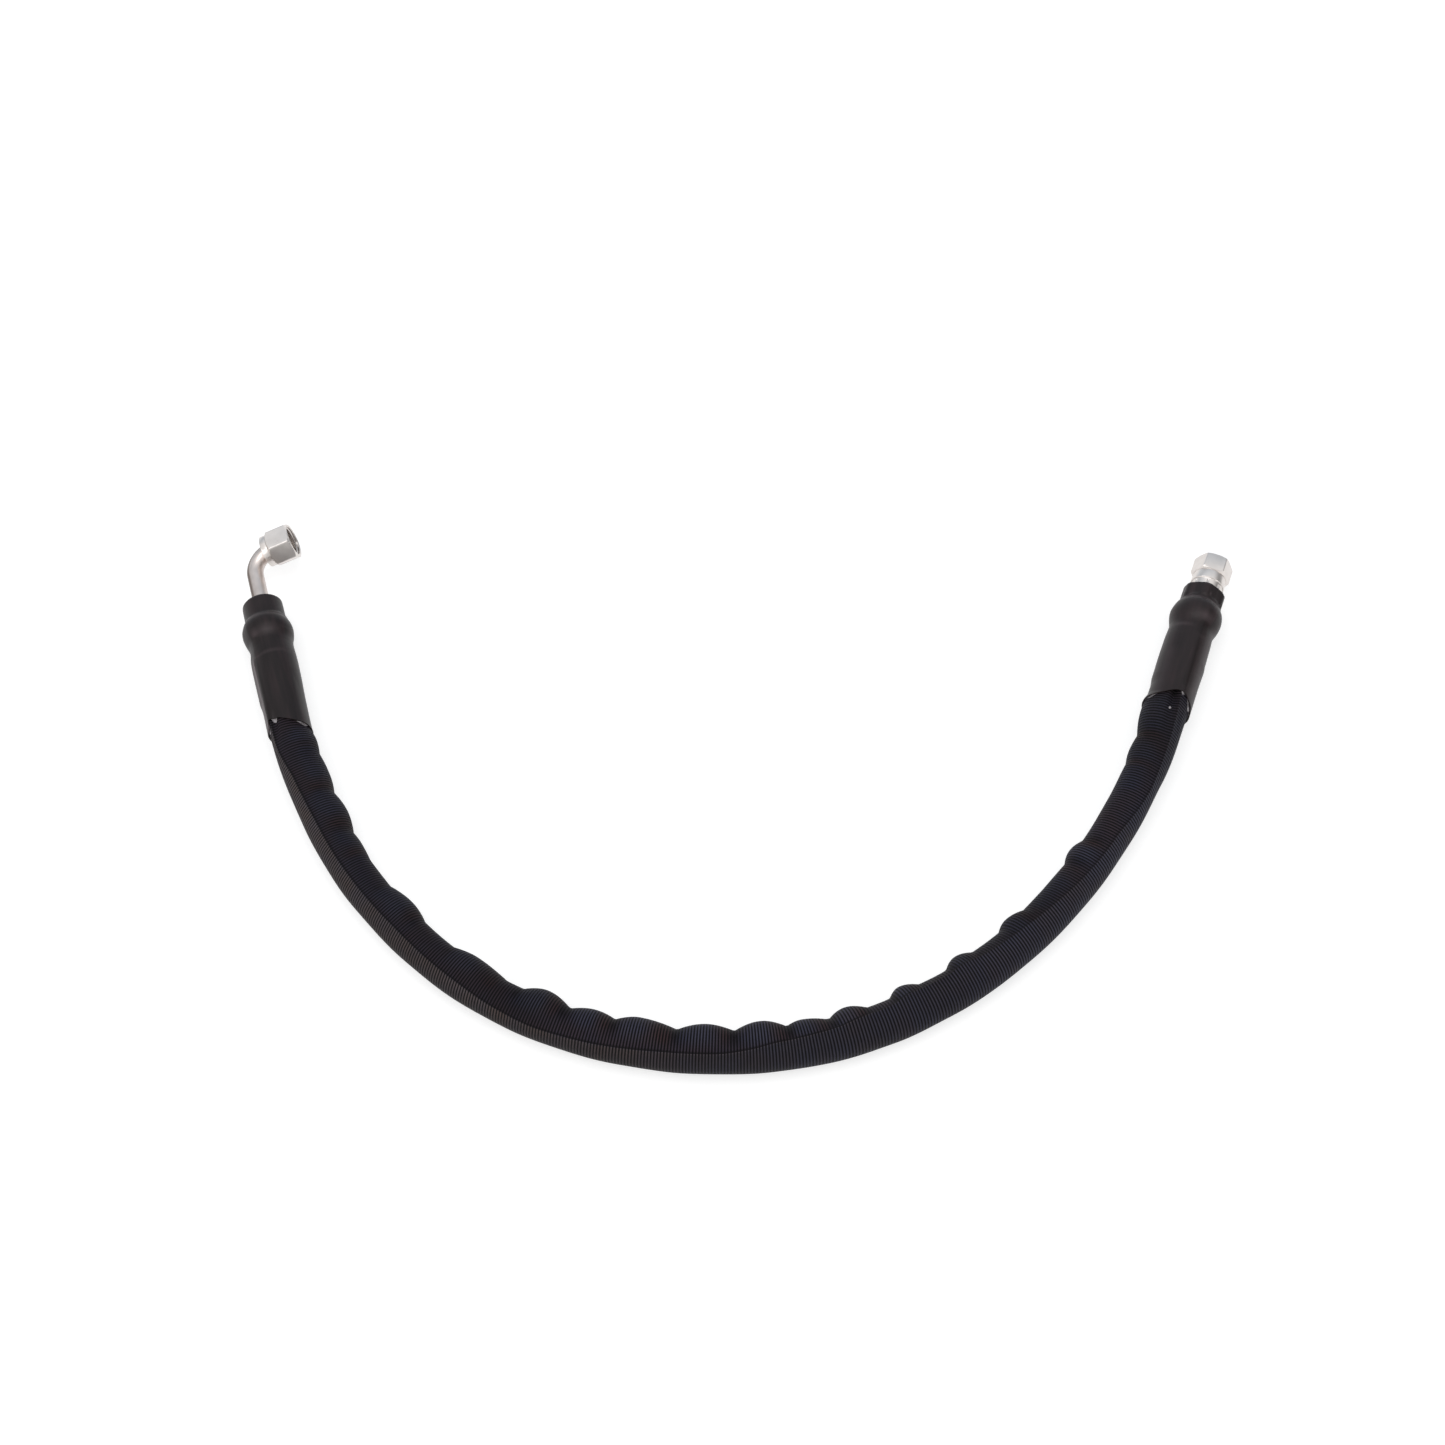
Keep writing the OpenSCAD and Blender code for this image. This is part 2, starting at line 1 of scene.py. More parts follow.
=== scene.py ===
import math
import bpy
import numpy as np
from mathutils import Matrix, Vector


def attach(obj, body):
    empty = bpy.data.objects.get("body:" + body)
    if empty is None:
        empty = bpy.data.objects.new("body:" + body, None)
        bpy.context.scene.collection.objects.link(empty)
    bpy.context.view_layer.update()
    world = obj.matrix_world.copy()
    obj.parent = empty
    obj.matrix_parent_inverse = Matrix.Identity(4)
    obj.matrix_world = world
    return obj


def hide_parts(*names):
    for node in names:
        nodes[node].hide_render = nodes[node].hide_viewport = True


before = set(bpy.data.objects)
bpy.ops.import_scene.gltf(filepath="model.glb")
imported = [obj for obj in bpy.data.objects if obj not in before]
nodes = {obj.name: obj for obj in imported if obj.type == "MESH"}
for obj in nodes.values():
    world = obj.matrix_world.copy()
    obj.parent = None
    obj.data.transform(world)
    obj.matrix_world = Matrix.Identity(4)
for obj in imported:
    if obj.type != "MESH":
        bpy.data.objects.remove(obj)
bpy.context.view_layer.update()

# %% [markdown]
# # A hydraulic hose assembly
# A two-wire-braid rubber hose lies in a U inside a loose woven nylon sleeve. One end has a swept
# elbow with a swivel nut, the other a straight fitting with a swivel nut. Two heat-shrink tubes,
# lined with hot-melt adhesive, hold the folded ends of the sleeve on the crimped ferrules. The
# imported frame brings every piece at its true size, and this lesson dresses it: it keeps the turned
# pieces, and models again what is soft, shrunk, threaded or bent.

MM = 0.001

# %% [markdown]
# ## The camera
# The assembly lies on a table and is seen from the side of its bend, from well above and with a
# long lens. The lens is given for a sensor 36 mm wide, and the picture is square.

# %% The camera
scene = bpy.context.scene
camera_data = bpy.data.cameras.new("camera")
camera_data.sensor_width = 36
camera_data.lens = 64.78
camera = bpy.data.objects.new("camera", camera_data)
scene.collection.objects.link(camera)
camera.location = Vector((-9.5, -860.2, 1331)) * MM
camera.rotation_euler = (math.radians(90 - 55.5), 0, 0)
scene.camera = camera
print("camera at", tuple(camera.location))

# %% [markdown]
# ## The line that the hose follows
# A hose is a stiff beam: it leaves each fitting dead straight and turns in one wide, even bend.
# The points of the part's source are joined by cubic curves. In the two straight runs the tangents
# follow the run, so that the hose stays true inside its ferrules.

# %% The centre line
ROUTE = np.array([
    [-300, 130, 15.5], [-287, 83, 15.5], [-274, 36, 15.5],
    [-256, -11, 13], [-227, -63, 12], [-188, -108, 12], [-142, -144, 12], [-88, -169, 12],
    [-30, -180, 12], [30, -178, 12], [86, -160, 12], [137, -131, 12], [181, -91, 12],
    [217, -44, 12], [246, 7, 13],
    [262, 48, 15.5], [277, 89, 15.5], [292, 130, 15.5]]) * MM


def unit(v):
    return v / np.linalg.norm(v, axis=-1, keepdims=True)


def fine_line(pieces_each=60):
    """Points close together along the route."""
    tangents = np.zeros_like(ROUTE)
    tangents[1:-1] = ROUTE[2:] - ROUTE[:-2]
    tangents[:3] = ROUTE[1] - ROUTE[0]
    tangents[-3:] = ROUTE[-1] - ROUTE[-2]
    tangents = unit(tangents)
    t = np.linspace(0, 1, pieces_each, endpoint=False)[:, None]
    points = []
    for a, b, u, v in zip(ROUTE, ROUTE[1:], tangents, tangents[1:]):
        span = np.linalg.norm(b - a)
        points.append((2 * t**3 - 3 * t**2 + 1) * a + (3 * t**2 - 2 * t**3) * b
                      + (t**3 - 2 * t**2 + t) * span * u + (t**3 - t**2) * span * v)
    return np.vstack(points + [ROUTE[-1:]])


LINE = fine_line()
LINE_S = np.concatenate([[0], np.cumsum(np.linalg.norm(np.diff(LINE, axis=0), axis=1))])
HOSE_LENGTH = LINE_S[-1]
print(f"the hose is {HOSE_LENGTH:.4f} m long")


def on_line(s):
    """Centre, direction, outward side and up of the line at distances s along it, in metres."""
    s = np.asarray(s, float)
    inside = np.clip(s, 0, HOSE_LENGTH)
    centre, ahead, behind = (
        np.stack([np.interp(inside + step * MM, LINE_S, LINE[:, k]) for k in range(3)], -1)
        for step in (0, 0.4, -0.4))
    along = unit(ahead - behind)
    side = unit(np.cross(along, [0, 0, 1]))
    up = np.cross(side, along)
    return centre + (s - inside)[..., None] * along, along, side, up


# %% [markdown]
# ## A tube swept along the line
# The hose's plies and the sleeve are all tubes that follow the line. A tube is given as two grids
# of points, its outer and its inner face. Angle 0 is up, and positive angles go to the outside of
# the bend. The inner face is hidden, so it may keep fewer points. The UV map is in metres of
# cloth, u round the tube and v along it, so that a weave can have its real thread spacing.

# %% Sweeping a tube
def points_round(s, angles, radii, shift=0):
    """A grid of points at angles (degrees) and radii (metres) round the line at distances s."""
    centre, along, side, up = on_line(s)
    a = np.radians(angles)
    outwards = np.sin(a)[..., None] * side[:, None] + np.cos(a)[..., None] * up[:, None]
    moved = centre + np.asarray(shift)[..., None] * side
    return moved[:, None] + radii[..., None] * outwards


def walls(rings, sides, start=0):
    """The quads of an open tube whose points start at the given number."""
    ring, k = np.meshgrid(np.arange(rings - 1), np.arange(sides), indexing="ij")
    a, b = ring * sides + k, ring * sides + (k + 1) % sides
    return (np.stack([a, b, b + sides, a + sides], -1).reshape(-1, 4) + start).tolist()


def kept_rings(rings, every):
    """The numbers of the rings that an inner face keeps: every n-th, and the last."""
    return sorted(set(range(0, rings, every)) | {rings - 1})


def swept_tube(name, outer, inner, u, v, every=(1, 1)):
    """A closed tube from two grids of points. The inner one keeps every n-th ring and point."""
    rings, sides = outer.shape[:2]
    kept = kept_rings(rings, every[0])
    inner = inner[kept][:, ::every[1]]
    count, few = inner.shape[:2]
    shift = rings * sides
    faces = walls(rings, sides) + [face[::-1] for face in walls(count, few, shift)]
    for ring, back, turn in ((0, shift, 1), ((rings - 1) * sides, shift + (count - 1) * few, -1)):
        for k in range(few):
            edge = [ring + (k * every[1] + m) % sides for m in range(every[1] + 1)]
            faces.append((edge[::-1] + [back + k, back + (k + 1) % few])[::turn])
    points = np.concatenate([outer.reshape(-1, 3), inner.reshape(-1, 3)])
    mesh = bpy.data.meshes.new(name)
    mesh.from_pydata(points.tolist(), [], faces)
    grid_u = np.broadcast_to(u, (rings, sides))
    point_u = np.concatenate([grid_u.ravel(), grid_u[kept][:, ::every[1]].ravel()])
    point_v = np.concatenate([np.repeat(v, sides), np.repeat(v[kept], few)])
    corners = np.concatenate(faces)
    face_of = np.repeat(np.arange(len(faces)), [len(face) for face in faces])
    corner_u = point_u[corners]
    girth = (point_u.max() - point_u.min()) * sides / (sides - 1)
    highest = np.full(len(faces), -1e9)
    np.maximum.at(highest, face_of, corner_u)
    corner_u = corner_u + girth * (highest[face_of] - corner_u > girth / 2)
    cloth = mesh.uv_layers.new(name="cloth")
    cloth.data.foreach_set("uv", np.stack([corner_u, point_v[corners]], -1).ravel())
    piece = bpy.data.objects.new(name, mesh)
    scene.collection.objects.link(piece)
    print(name, len(faces), "faces")
    return piece


def lay_down_tools():
    bpy.ops.object.select_all(action="DESELECT")
    bpy.context.view_layer.objects.active = None


def edit_all(mode="VERT"):
    """Edit mode, with everything selected."""
    bpy.ops.object.mode_set(mode="EDIT")
    bpy.ops.mesh.select_mode(type=mode)
    bpy.ops.mesh.select_all(action="SELECT")


def close_up(merge=None):
    """Merges doubles where a distance is given, turns all faces outwards and leaves edit mode."""
    bpy.ops.mesh.select_all(action="SELECT")
    if merge:
        bpy.ops.mesh.remove_doubles(threshold=merge)
        bpy.ops.mesh.select_all(action="SELECT")
    bpy.ops.mesh.normals_make_consistent(inside=False)
    bpy.ops.object.mode_set(mode="OBJECT")


def set_down():
    """Leaves the place, turn and scale of what is selected in its mesh."""
    bpy.ops.object.transform_apply(location=True, rotation=True, scale=True)


def pick(piece):
    """Selects one piece alone and makes it the active one."""
    lay_down_tools()
    piece.select_set(True)
    bpy.context.view_layer.objects.active = piece


def smooth(piece, degrees=40):
    """Shades a piece smooth, with edges left sharp from the given angle on."""
    pick(piece)
    bpy.ops.object.shade_smooth_by_angle(angle=math.radians(degrees))


# %% [markdown]
# ## The hose
# A two-wire-braid hose has five layers: an inner tube that holds the oil, two braids of brassed
# wire with thin rubber between them, and a cover that takes the scuffs. Each is a tube of its own,
# cut to the same length. The cover is the cord that the others lie in.

# %% The five plies
PLIES = {
    "hose_inner_tube": (4.75, 6.65, "liner_rubber"),
    "hose_inner_braid": (6.68, 7.35, "braid_wire"),
    "hose_interlayer": (7.38, 7.65, "liner_rubber"),
    "hose_outer_braid": (7.68, 8.35, "braid_wire"),
    "hose_cover": (8.38, 9.50, "cover_rubber")}
hose_s = np.linspace(0, HOSE_LENGTH, 190)
plies = {}
for node_name, (inner_r, outer_r, slot_name) in PLIES.items():
    ply_sides = 48 if node_name == "hose_cover" else 24
    ply_angles = np.arange(ply_sides) * 360 / ply_sides
    one_mm = np.ones((len(hose_s), ply_sides)) * MM
    ply = swept_tube(node_name + "_ply", points_round(hose_s, ply_angles, one_mm * outer_r),
                     points_round(hose_s, ply_angles, one_mm * inner_r),
                     np.radians(ply_angles) * outer_r * MM, hose_s)
    smooth(ply)
    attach(ply, "hose")
    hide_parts(node_name)
    plies[node_name] = ply

# %% [markdown]
# ## The sleeve
# The sleeve is woven flat, so it keeps two sharp fold lines, and it is half again as wide as the
# hose. Round the bend its outer side lies smooth and its inner side has cloth to spare, which
# gathers in soft bulges with sharp pinches between. Sizes are in mm from the hose's elbow end.

# %% Where the fold line, the gathers and the slack lie
SLEEVE_R = 12.45  # the sleeve's outside, where it lies plain
CLOTH = 1.1  # thickness of the woven cloth
INSIDE_ON_HOSE, INSIDE_ON_FERRULE = 9.53, 11.7  # the least radii of the sleeve's inner face
FERRULE_END = 33.5  # a ferrule reaches this far from the hose's end
OFF_TABLE, INNER_OFF_TABLE = 0.06, 1.2  # the lowest that the outer and the inner face may lie
INNER_EVERY = (3, 2)  # the hidden face keeps every third ring and every second point
# Distance, and the fold line's angle there.
FOLD_LINE = [
    (0, 50), (113, 50), (134, 33), (150, 30), (170, 27), (258, 27), (290, 32), (313, 37),
    (331, 44), (356, 50), (393, 44), (430, 34), (464, 32), (481, 23), (495, 12), (514, 6),
    (532, 0), (552, -8), (573, -15), (595, -20), (618, -17), (634, -10), (658, -1), (679, 6),
    (701, 16), (726, 24), (748, 26), (770, 38), (788, 43), (810, 35), (834, 28), (856, 23),
    (932, 24)]
# Where each gather starts, stands highest and ends, and how high it stands.
GATHERS = [
    (99, 109, 122, 2.0), (114, 137, 151, 2.4), (149, 165, 181, 3.0), (181, 191, 205, 1.3),
    (230, 247, 263, 3.3), (291, 306, 330, 3.2), (341, 355, 371, 5.0), (374, 387, 401, 3.3),
    (402, 416, 438, 4.5), (438, 455, 471, 4.6), (472, 488, 504, 5.2), (504, 514, 529, 3.4),
    (530, 541, 552, 4.2), (569, 577, 588, 4.3), (609, 618, 629, 3.9), (652, 660, 671, 3.3),
    (674, 700, 716, 0.7), (717, 727, 737, 2.9), (778, 796, 803, 0.3), (802, 813, 827, 1.7),
    (824, 843, 866, 3.5)]
# Distance, and how far the loose sleeve lies to the outside of the hose.
DRIFT = [
    (0, 0), (96, 0), (126, -0.5), (150, -0.3), (200, -0.2), (230, 0), (264, 0.6), (290, 0.85),
    (318, 0.6), (350, 0.35), (380, -0.1), (410, -0.25), (440, -0.05), (470, -0.35), (498, -0.7),
    (522, -0.1), (540, 0.45), (566, 0.95), (588, 0.15), (606, 0.45), (626, -0.15), (660, 0),
    (730, 0.15), (775, -0.15), (795, -0.3), (812, 0.2), (830, 0.8), (850, 1.05), (872, 1),
    (897, 0), (932, 0)]


EACH_MM = np.arange(0, 933.0)


def follow(s, table):
    """A value from a table of (distance, value), smoothed over 17 mm along the hose."""
    values = np.interp(EACH_MM, *zip(*table))
    spread = np.hanning(17)
    values = np.convolve(np.pad(values, 8, mode="edge"), spread / spread.sum(), mode="valid")
    return np.interp(s, EACH_MM, values)


def gathered(s, angle):
    """How far the gathers lift the cloth, in mm, at a distance and an angle in degrees."""
    lift = np.zeros(np.broadcast(s, angle).shape)
    for number, (start, peak, end, height) in enumerate(GATHERS):
        # Each gather leans a little its own way, and its middle lies a little higher or lower.
        here = s + (number % 3 - 1) * 4 * (angle + 85) / 90
        along = np.where(here < peak, (here - start) / (peak - start), (end - here) / (end - peak))
        along = np.sin(np.clip(along, 0, 1) * math.pi / 2) ** 0.85
        across = np.clip(1 - np.abs((angle + 84 + 6 * (number % 2)) / 108) ** 1.5, 0, 1)
        lift = np.maximum(lift, height * along * across**1.3)
    return lift


# %% [markdown]
# The cloth bows between its two fold lines like a lens. At the ends it climbs onto the ferrules
# and is folded back under itself. The mesh follows the fold lines and is closest there, so that
# they stay crisp. Where the cloth would dip below the table it lies flat on it.

# %% The sleeve's shape
END_S = HOSE_LENGTH / MM
ELBOW_CUFF = [
    (12, 12.9), (12.6, 13.3), (13.6, 13.8), (15.2, 14.4), (17.8, 14.75), (20.5, 14.6),
    (24, 14.0), (27, 13.1), (29.5, 12.68), (34, 12.6), (38, 12.85), (43, 13.1), (48, 13.1),
    (60, 12.95), (72, 12.6), (86, 12.45), (932, SLEEVE_R)]
STRAIGHT_CUFF = [
    (1, 12.9), (1.6, 13.6), (3, 14.3), (5, 14.85), (7.5, 15.1), (10.5, 14.9), (13.5, 14.25),
    (16.5, 13.2), (19, 12.68), (21.5, 12.65), (26, 12.9), (34, 13.15), (45, 13.15), (55, 12.8),
    (67, 12.5), (932, SLEEVE_R)]
# Distance along, degrees from the fold line, reach along, reach round, and depth of each hollow
# beside the fold line where the heat-shrink holds the cloth.
HOLLOWS = [(97, -12, 10, 9, 1.5), (99, 14, 9, 8, 0.5), (853, -17, 9, 12, 2.4),
           (838, -18, 13, 12, 1.0), (838, 14, 12, 8, 0.4)]


def slid(angle, s):
    """How far the elbow's cuff has crept along the hose on the inside of the bend, in mm."""
    return 0.9 * (1 - np.sin(np.radians(angle))) * np.exp(-((s - 17) / 11) ** 2)


def sleeve_shape(s, offset):
    """Radius of the sleeve's outer face in mm, offset degrees from the fold line."""
    angle = (follow(s, FOLD_LINE) + offset + 180) % 360 - 180
    from_fold = (offset + 90) % 180 - 90
    open_cloth = np.clip(np.minimum((s - 30) / 50, (END_S - 20 - s) / 50), 0.3, 1)
    crest = (0.095 * np.clip(1 - np.abs(from_fold) / 48, 0, 1) ** 2
             + 0.022 * np.exp(-(from_fold / 4) ** 2))
    body = 1 - 0.02 * np.sin(np.radians(from_fold)) ** 2 * open_cloth
    crept = s - slid(angle, s)
    radius = np.where(crept < 400, np.interp(crept, *zip(*ELBOW_CUFF)),
                      np.interp(END_S - crept, *zip(*STRAIGHT_CUFF)))
    radius = radius * (body + crest * open_cloth)
    free = np.clip(np.minimum((s - 94) / 6, (863 - s) / 12), 0, 1)
    radius = radius + gathered(s, angle) * free
    radius = radius + 0.12 * np.sin(s / 7.3 + np.radians(angle) * 2) * free
    for at_s, at_offset, long, wide, deep in HOLLOWS:
        away = ((s - at_s) / long) ** 2 + ((offset - at_offset) / wide) ** 2
        radius = radius - deep * np.exp(-away)
    return radius


even = np.linspace(0, 1, 25)
quarter = 90 * (0.35 * even + 0.65 * even**1.7)
half = np.concatenate([quarter, 180 - quarter[-2::-1]])
offsets = np.concatenate([-half[:0:-1], half[:-1]])
sleeve_s = np.concatenate([
    [12, 12.3, 12.8, 13.5, 14.5, 16, 18, 20.5, 23, 25, 27, 29.5, 33.4, 33.6, 37, 41, 46],
    np.arange(52, 880, 1.45),
    END_S - np.array([46, 40, 35, 33.6, 33.4, 28, 24, 21.5, 19, 16.5, 13.5, 11.5, 9.5, 7.5, 5, 3.8,
                      2.8, 2, 1.4, 1])])
grid_s, grid_o = np.meshgrid(sleeve_s, offsets, indexing="ij")
fold = follow(sleeve_s, FOLD_LINE)[:, None]
outer_radii = sleeve_shape(grid_s, grid_o)
on_ferrule = (grid_s < FERRULE_END) | (END_S - grid_s < FERRULE_END)
inner_radii = np.where(on_ferrule, INSIDE_ON_FERRULE,
                       np.maximum(outer_radii - CLOTH, INSIDE_ON_HOSE))
drift = follow(sleeve_s, DRIFT) * MM
outer_face, inner_face = (points_round(sleeve_s * MM, fold + grid_o, radii * MM, drift)
                          for radii in (outer_radii, inner_radii))
outer_face[..., 2] = np.maximum(outer_face[..., 2], OFF_TABLE * MM)
inner_face[..., 2] = np.maximum(inner_face[..., 2], INNER_OFF_TABLE * MM)
print("sleeve radii from", outer_radii.min().round(2), "to", outer_radii.max().round(2), "mm")

# %% [markdown]
# The ribs of the cloth are 1.75 mm apart where it is gathered most and nearly 2 mm apart where it
# is pulled out, so v is stretched or squeezed along the hose to count ribs.

# %% The sleeve
RIB_PITCH = 1.8
spacing = [(0, 1.85), (150, 1.8), (200, 1.74), (500, 1.76), (545, 1.9), (690, 1.88), (760, 1.96),
           (850, 1.95), (932, 1.9)]
real_pitch = np.interp(EACH_MM[1:] - 0.5, *zip(*spacing))
counted = np.concatenate([[0], np.cumsum(RIB_PITCH / real_pitch)])
cloth_u = np.radians(offsets + 180) * SLEEVE_R * MM
cloth_v = np.interp(sleeve_s, EACH_MM, counted) * MM
sleeve = swept_tube("woven_sleeve", outer_face, inner_face, cloth_u, cloth_v, every=INNER_EVERY)
smooth(sleeve, 70)
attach(sleeve, "hose")
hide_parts("abrasion_sleeve")

# %% [markdown]
# ## The frames of the two fittings
# Each fitting is modelled upright at the middle of the world, standing on the hose's end, and then
# carried to its place, by the same turns as in the part's source.

# %% Placing a fitting
QUARTER_TURN = Matrix.Rotation(math.radians(90), 4, "Y")


def fitting_frame(first, second):
    """A fitting's axis is its own z and points out of the hose's end. Its own -x is up."""
    run = ROUTE[first] - ROUTE[second]
    return (Matrix.Translation(ROUTE[first]) @ Matrix.Rotation(math.atan2(run[1], run[0]), 4, "Z")
            @ QUARTER_TURN)


ELBOW_RISE, ELBOW_REACH = 17.5, 43.5
elbow_end = fitting_frame(0, 1)
straight_end = fitting_frame(-1, -2)
elbow_plane = elbow_end @ Matrix.Rotation(math.radians(270 - ELBOW_RISE), 4, "Z")
elbow_outlet = elbow_plane @ Matrix.Translation((0, 0, ELBOW_REACH * MM)) @ QUARTER_TURN


def put(piece, place):
    """Carries a piece to its place and leaves that place in its mesh."""
    pick(piece)
    piece.matrix_world = place
    set_down()


def apply(piece, kind, **settings):
    """Adds one modifier, sets it and applies it."""
    modifier = piece.modifiers.new(kind.lower(), kind)
    for key, value in settings.items():
        setattr(modifier, key, value)
    pick(piece)
    bpy.ops.object.modifier_apply(modifier=modifier.name)


print("elbow outlet at", tuple(round(x, 4) for x in elbow_outlet.translation))

# %% [markdown]
# ## Heat-shrink over the cuffs
# A heat-shrink tube is slipped on wide and drawn down by hot air until it grips the bare ferrule,
# the thick folded cuff and the sleeve behind it. It is extruded ring by ring at the radius that it
# has shrunk to. A Shrinkwrap modifier then pushes it out wherever the hexagon or the fold line
# stands in its way, and Solidify gives it its wall. The adhesive is made in the same way, but its
# Shrinkwrap makes it cling all over to what it covers.

# %% A tube, ring by ring
def extruded_rings(name, rings, sides=128):
    """A tube open at both ends from a list of (station, radius) in mm."""
    lay_down_tools()
    station, radius = rings[0]
    bpy.ops.mesh.primitive_circle_add(vertices=sides, radius=radius * MM,
                                      location=(0, 0, station * MM))
    piece = bpy.context.object
    piece.name = name
    set_down()
    edit_all()
    for next_station, next_radius in rings[1:]:
        bpy.ops.mesh.extrude_region_move(
            TRANSFORM_OT_translate={"value": (0, 0, (next_station - station) * MM)})
        grow = next_radius / radius
        bpy.ops.transform.resize(value=(grow, grow, 1), center_override=(0, 0, next_station * MM))
        station, radius = next_station, next_radius
    close_up()
    return piece


def joined(pieces):
    """Joins pieces into the first of them."""
    pick(pieces[0])
    for piece in pieces:
        piece.select_set(True)
    bpy.ops.object.join()
    return pieces[0]


def core_of(name, pieces):
    """One throw-away mesh of everything that a shrunk tube lies on."""
    copies = []
    for piece in pieces:
        copy = piece.copy()
        copy.data = piece.data.copy()
        copy.parent = None
        scene.collection.objects.link(copy)
        copies.append(copy)
    core = joined(copies)
    core.name = name
    return core


# %% [markdown]
# The free mouths are not cut square: the tube draws back over the fold line and hangs further
# down the sides. Ridges and grooves run along it where the cloth underneath does, and its skin has
# patches of painted highlight and painted shade. All are given by the angle from straight up, as on
# the hose.

# %% Forming the tube
SLANT_FADE = 30  # the mouth's slant is gone this far up the tube
STREAK_STRETCH = 9  # the streaks are this much longer than they are wide
NECK_START, NECK_FULL = 0.5, 2.5  # where the neck, which may be thicker, starts and is full


def soft_patches(angle, z, table):
    """The sum of soft patches, each (angle, reach round, first station, last station, height)."""
    total = 0.0
    for at_angle, wide, first, last, high in table:
        soft = min(6, (first - last) / 2)
        reach = min(max(min(first - z, z - last) / soft, 0), 1)
        total += high * reach * math.exp(-((angle - at_angle) / wide) ** 2)
    return total


def tell(piece, name, kind, field, values):
    """Gives each vertex its value of a named attribute, which a material can read."""
    attribute = piece.data.attributes.new(name, kind, "POINT")
    attribute.data.foreach_set(field, values)


def form(tube, mouth, outward, ridges, painted_light_patches):
    """Slants the mouth and raises ridges. mouth is a list of (angle, station) in mm."""
    angles, stations = zip(*mouth)
    drawn, painted_light_level = [], []
    for vertex in tube.data.vertices:
        x, y, z = vertex.co / MM
        drawn += [x * MM, y * MM, z * MM / STREAK_STRETCH]
        angle = math.degrees(math.atan2(y, -x)) * outward
        slant = np.interp(angle, angles, stations) - min(stations)
        weight = min(max((min(stations) + SLANT_FADE - z) / SLANT_FADE, 0), 1)
        z = z + weight**1.5 * slant
        grow = 1 + soft_patches(angle, z, ridges) / math.hypot(x, y)
        # The painted highlight, above zero, and painted shade, below zero, at this point of the
        # skin.
        painted_light_level.append(soft_patches(angle, z, painted_light_patches))
        if outward > 0:
            z -= slid(angle, -z)
        vertex.co = (x * grow * MM, y * grow * MM, z * MM)
    tell(tube, "drawn", "FLOAT_VECTOR", "vector", drawn)
    tell(tube, "painted_light_level", "FLOAT", "value", painted_light_level)


def swell(tube, place, amount, first=0):
    """Moves the vertices from the first one on outwards by an amount in mm, on the neck only."""
    there = place.inverted()
    for vertex in tube.data.vertices[first:]:
        local = there @ vertex.co
        weight = np.interp(local.z / MM, [NECK_START, NECK_FULL], [0, 1])
        local.xy *= 1 + amount * MM * weight / local.xy.length
        vertex.co = place @ local


def shrunk(name, rings, core, place, outward, gap, wall, mouth, ridges, painted_light_patches, grip, neck=0):
    """A tube drawn down on a core: formed, carried there, wrapped, and given its wall."""
    tube = extruded_rings(name, rings)
    form(tube, mouth, outward, ridges, painted_light_patches)
    put(tube, place)
    apply(tube, "SHRINKWRAP", target=core, wrap_method="NEAREST_SURFACEPOINT",
          wrap_mode=grip, offset=gap * MM)
    apply(tube, "SMOOTH", factor=0.4, iterations=2)
    swell(tube, place, neck)
    skin = len(tube.data.vertices)
    apply(tube, "SOLIDIFY", thickness=wall * MM, offset=-1)
    swell(tube, place, -neck, skin)
    smooth(tube, 50)
    for vertex in tube.data.vertices:
        vertex.co.z = max(vertex.co.z, OFF_TABLE * MM)
    print(name, len(tube.data.polygons), "faces")
    return tube


# %% The two heat-shrink tubes and their adhesive
elbow_core = core_of("elbow_core", [sleeve, nodes["elbow_ferrule"]])
straight_core = core_of("straight_core", [sleeve, nodes["straight_ferrule"],
                                          nodes["straight_hose_tail"]])
# Station and radius of the outside, from the fitting to the mouth.
ELBOW_OUTSIDE = [
    (4.3, 9.6), (4.5, 10.4), (4.4, 11.3), (3.8, 12.0), (2.6, 12.5), (0, 12.75), (-4, 12.75),
    (-7, 12.8), (-10, 12.95), (-12, 13.8), (-13.8, 14.8), (-16, 15.5), (-18.3, 15.75),
    (-20.5, 15.6), (-23, 15.1), (-25.5, 14.5), (-28, 13.9), (-31, 13.55), (-34, 13.5),
    (-37, 13.65), (-41, 13.95), (-46, 14.05), (-55, 14.0), (-62, 13.9), (-72, 13.75),
    (-84, 13.6), (-100, 13.6)]
STRAIGHT_OUTSIDE = [
    (13, 12.15), (12, 12.15), (3, 12.15), (1.5, 12.6), (0.3, 13.7), (-1.5, 14.9), (-4, 15.7),
    (-7.5, 15.95), (-10.5, 15.8), (-13.5, 15.2), (-16.5, 14.3), (-19, 13.7), (-21, 13.6),
    (-25, 13.85), (-30, 14.05), (-45, 14.1), (-50, 14.0), (-55, 13.85), (-62, 13.8), (-90, 14)]
ELBOW_MOUTH = [
    (-180, -98.5), (-100, -99.3), (-70, -99.1), (-45, -98.4), (-22, -97.6), (-8, -96.4), (4, -95.2),
    (20, -93.1), (37, -91.6), (46, -91.1), (53, -91.2), (56, -93.6), (60, -95.6), (68, -96.4),
    (85, -96.2), (100, -96.4), (180, -98.5)]
STRAIGHT_MOUTH = [
    (-180, -85), (-110, -83.5), (-85, -82), (-65, -81), (-44, -80.3), (-31, -79.2), (-16, -77.9),
    (-3, -76.2), (9, -74.6), (14, -74.1), (25, -73.8), (38, -74.8), (53, -76.5), (71, -78),
    (85, -81.5), (100, -83), (180, -85)]
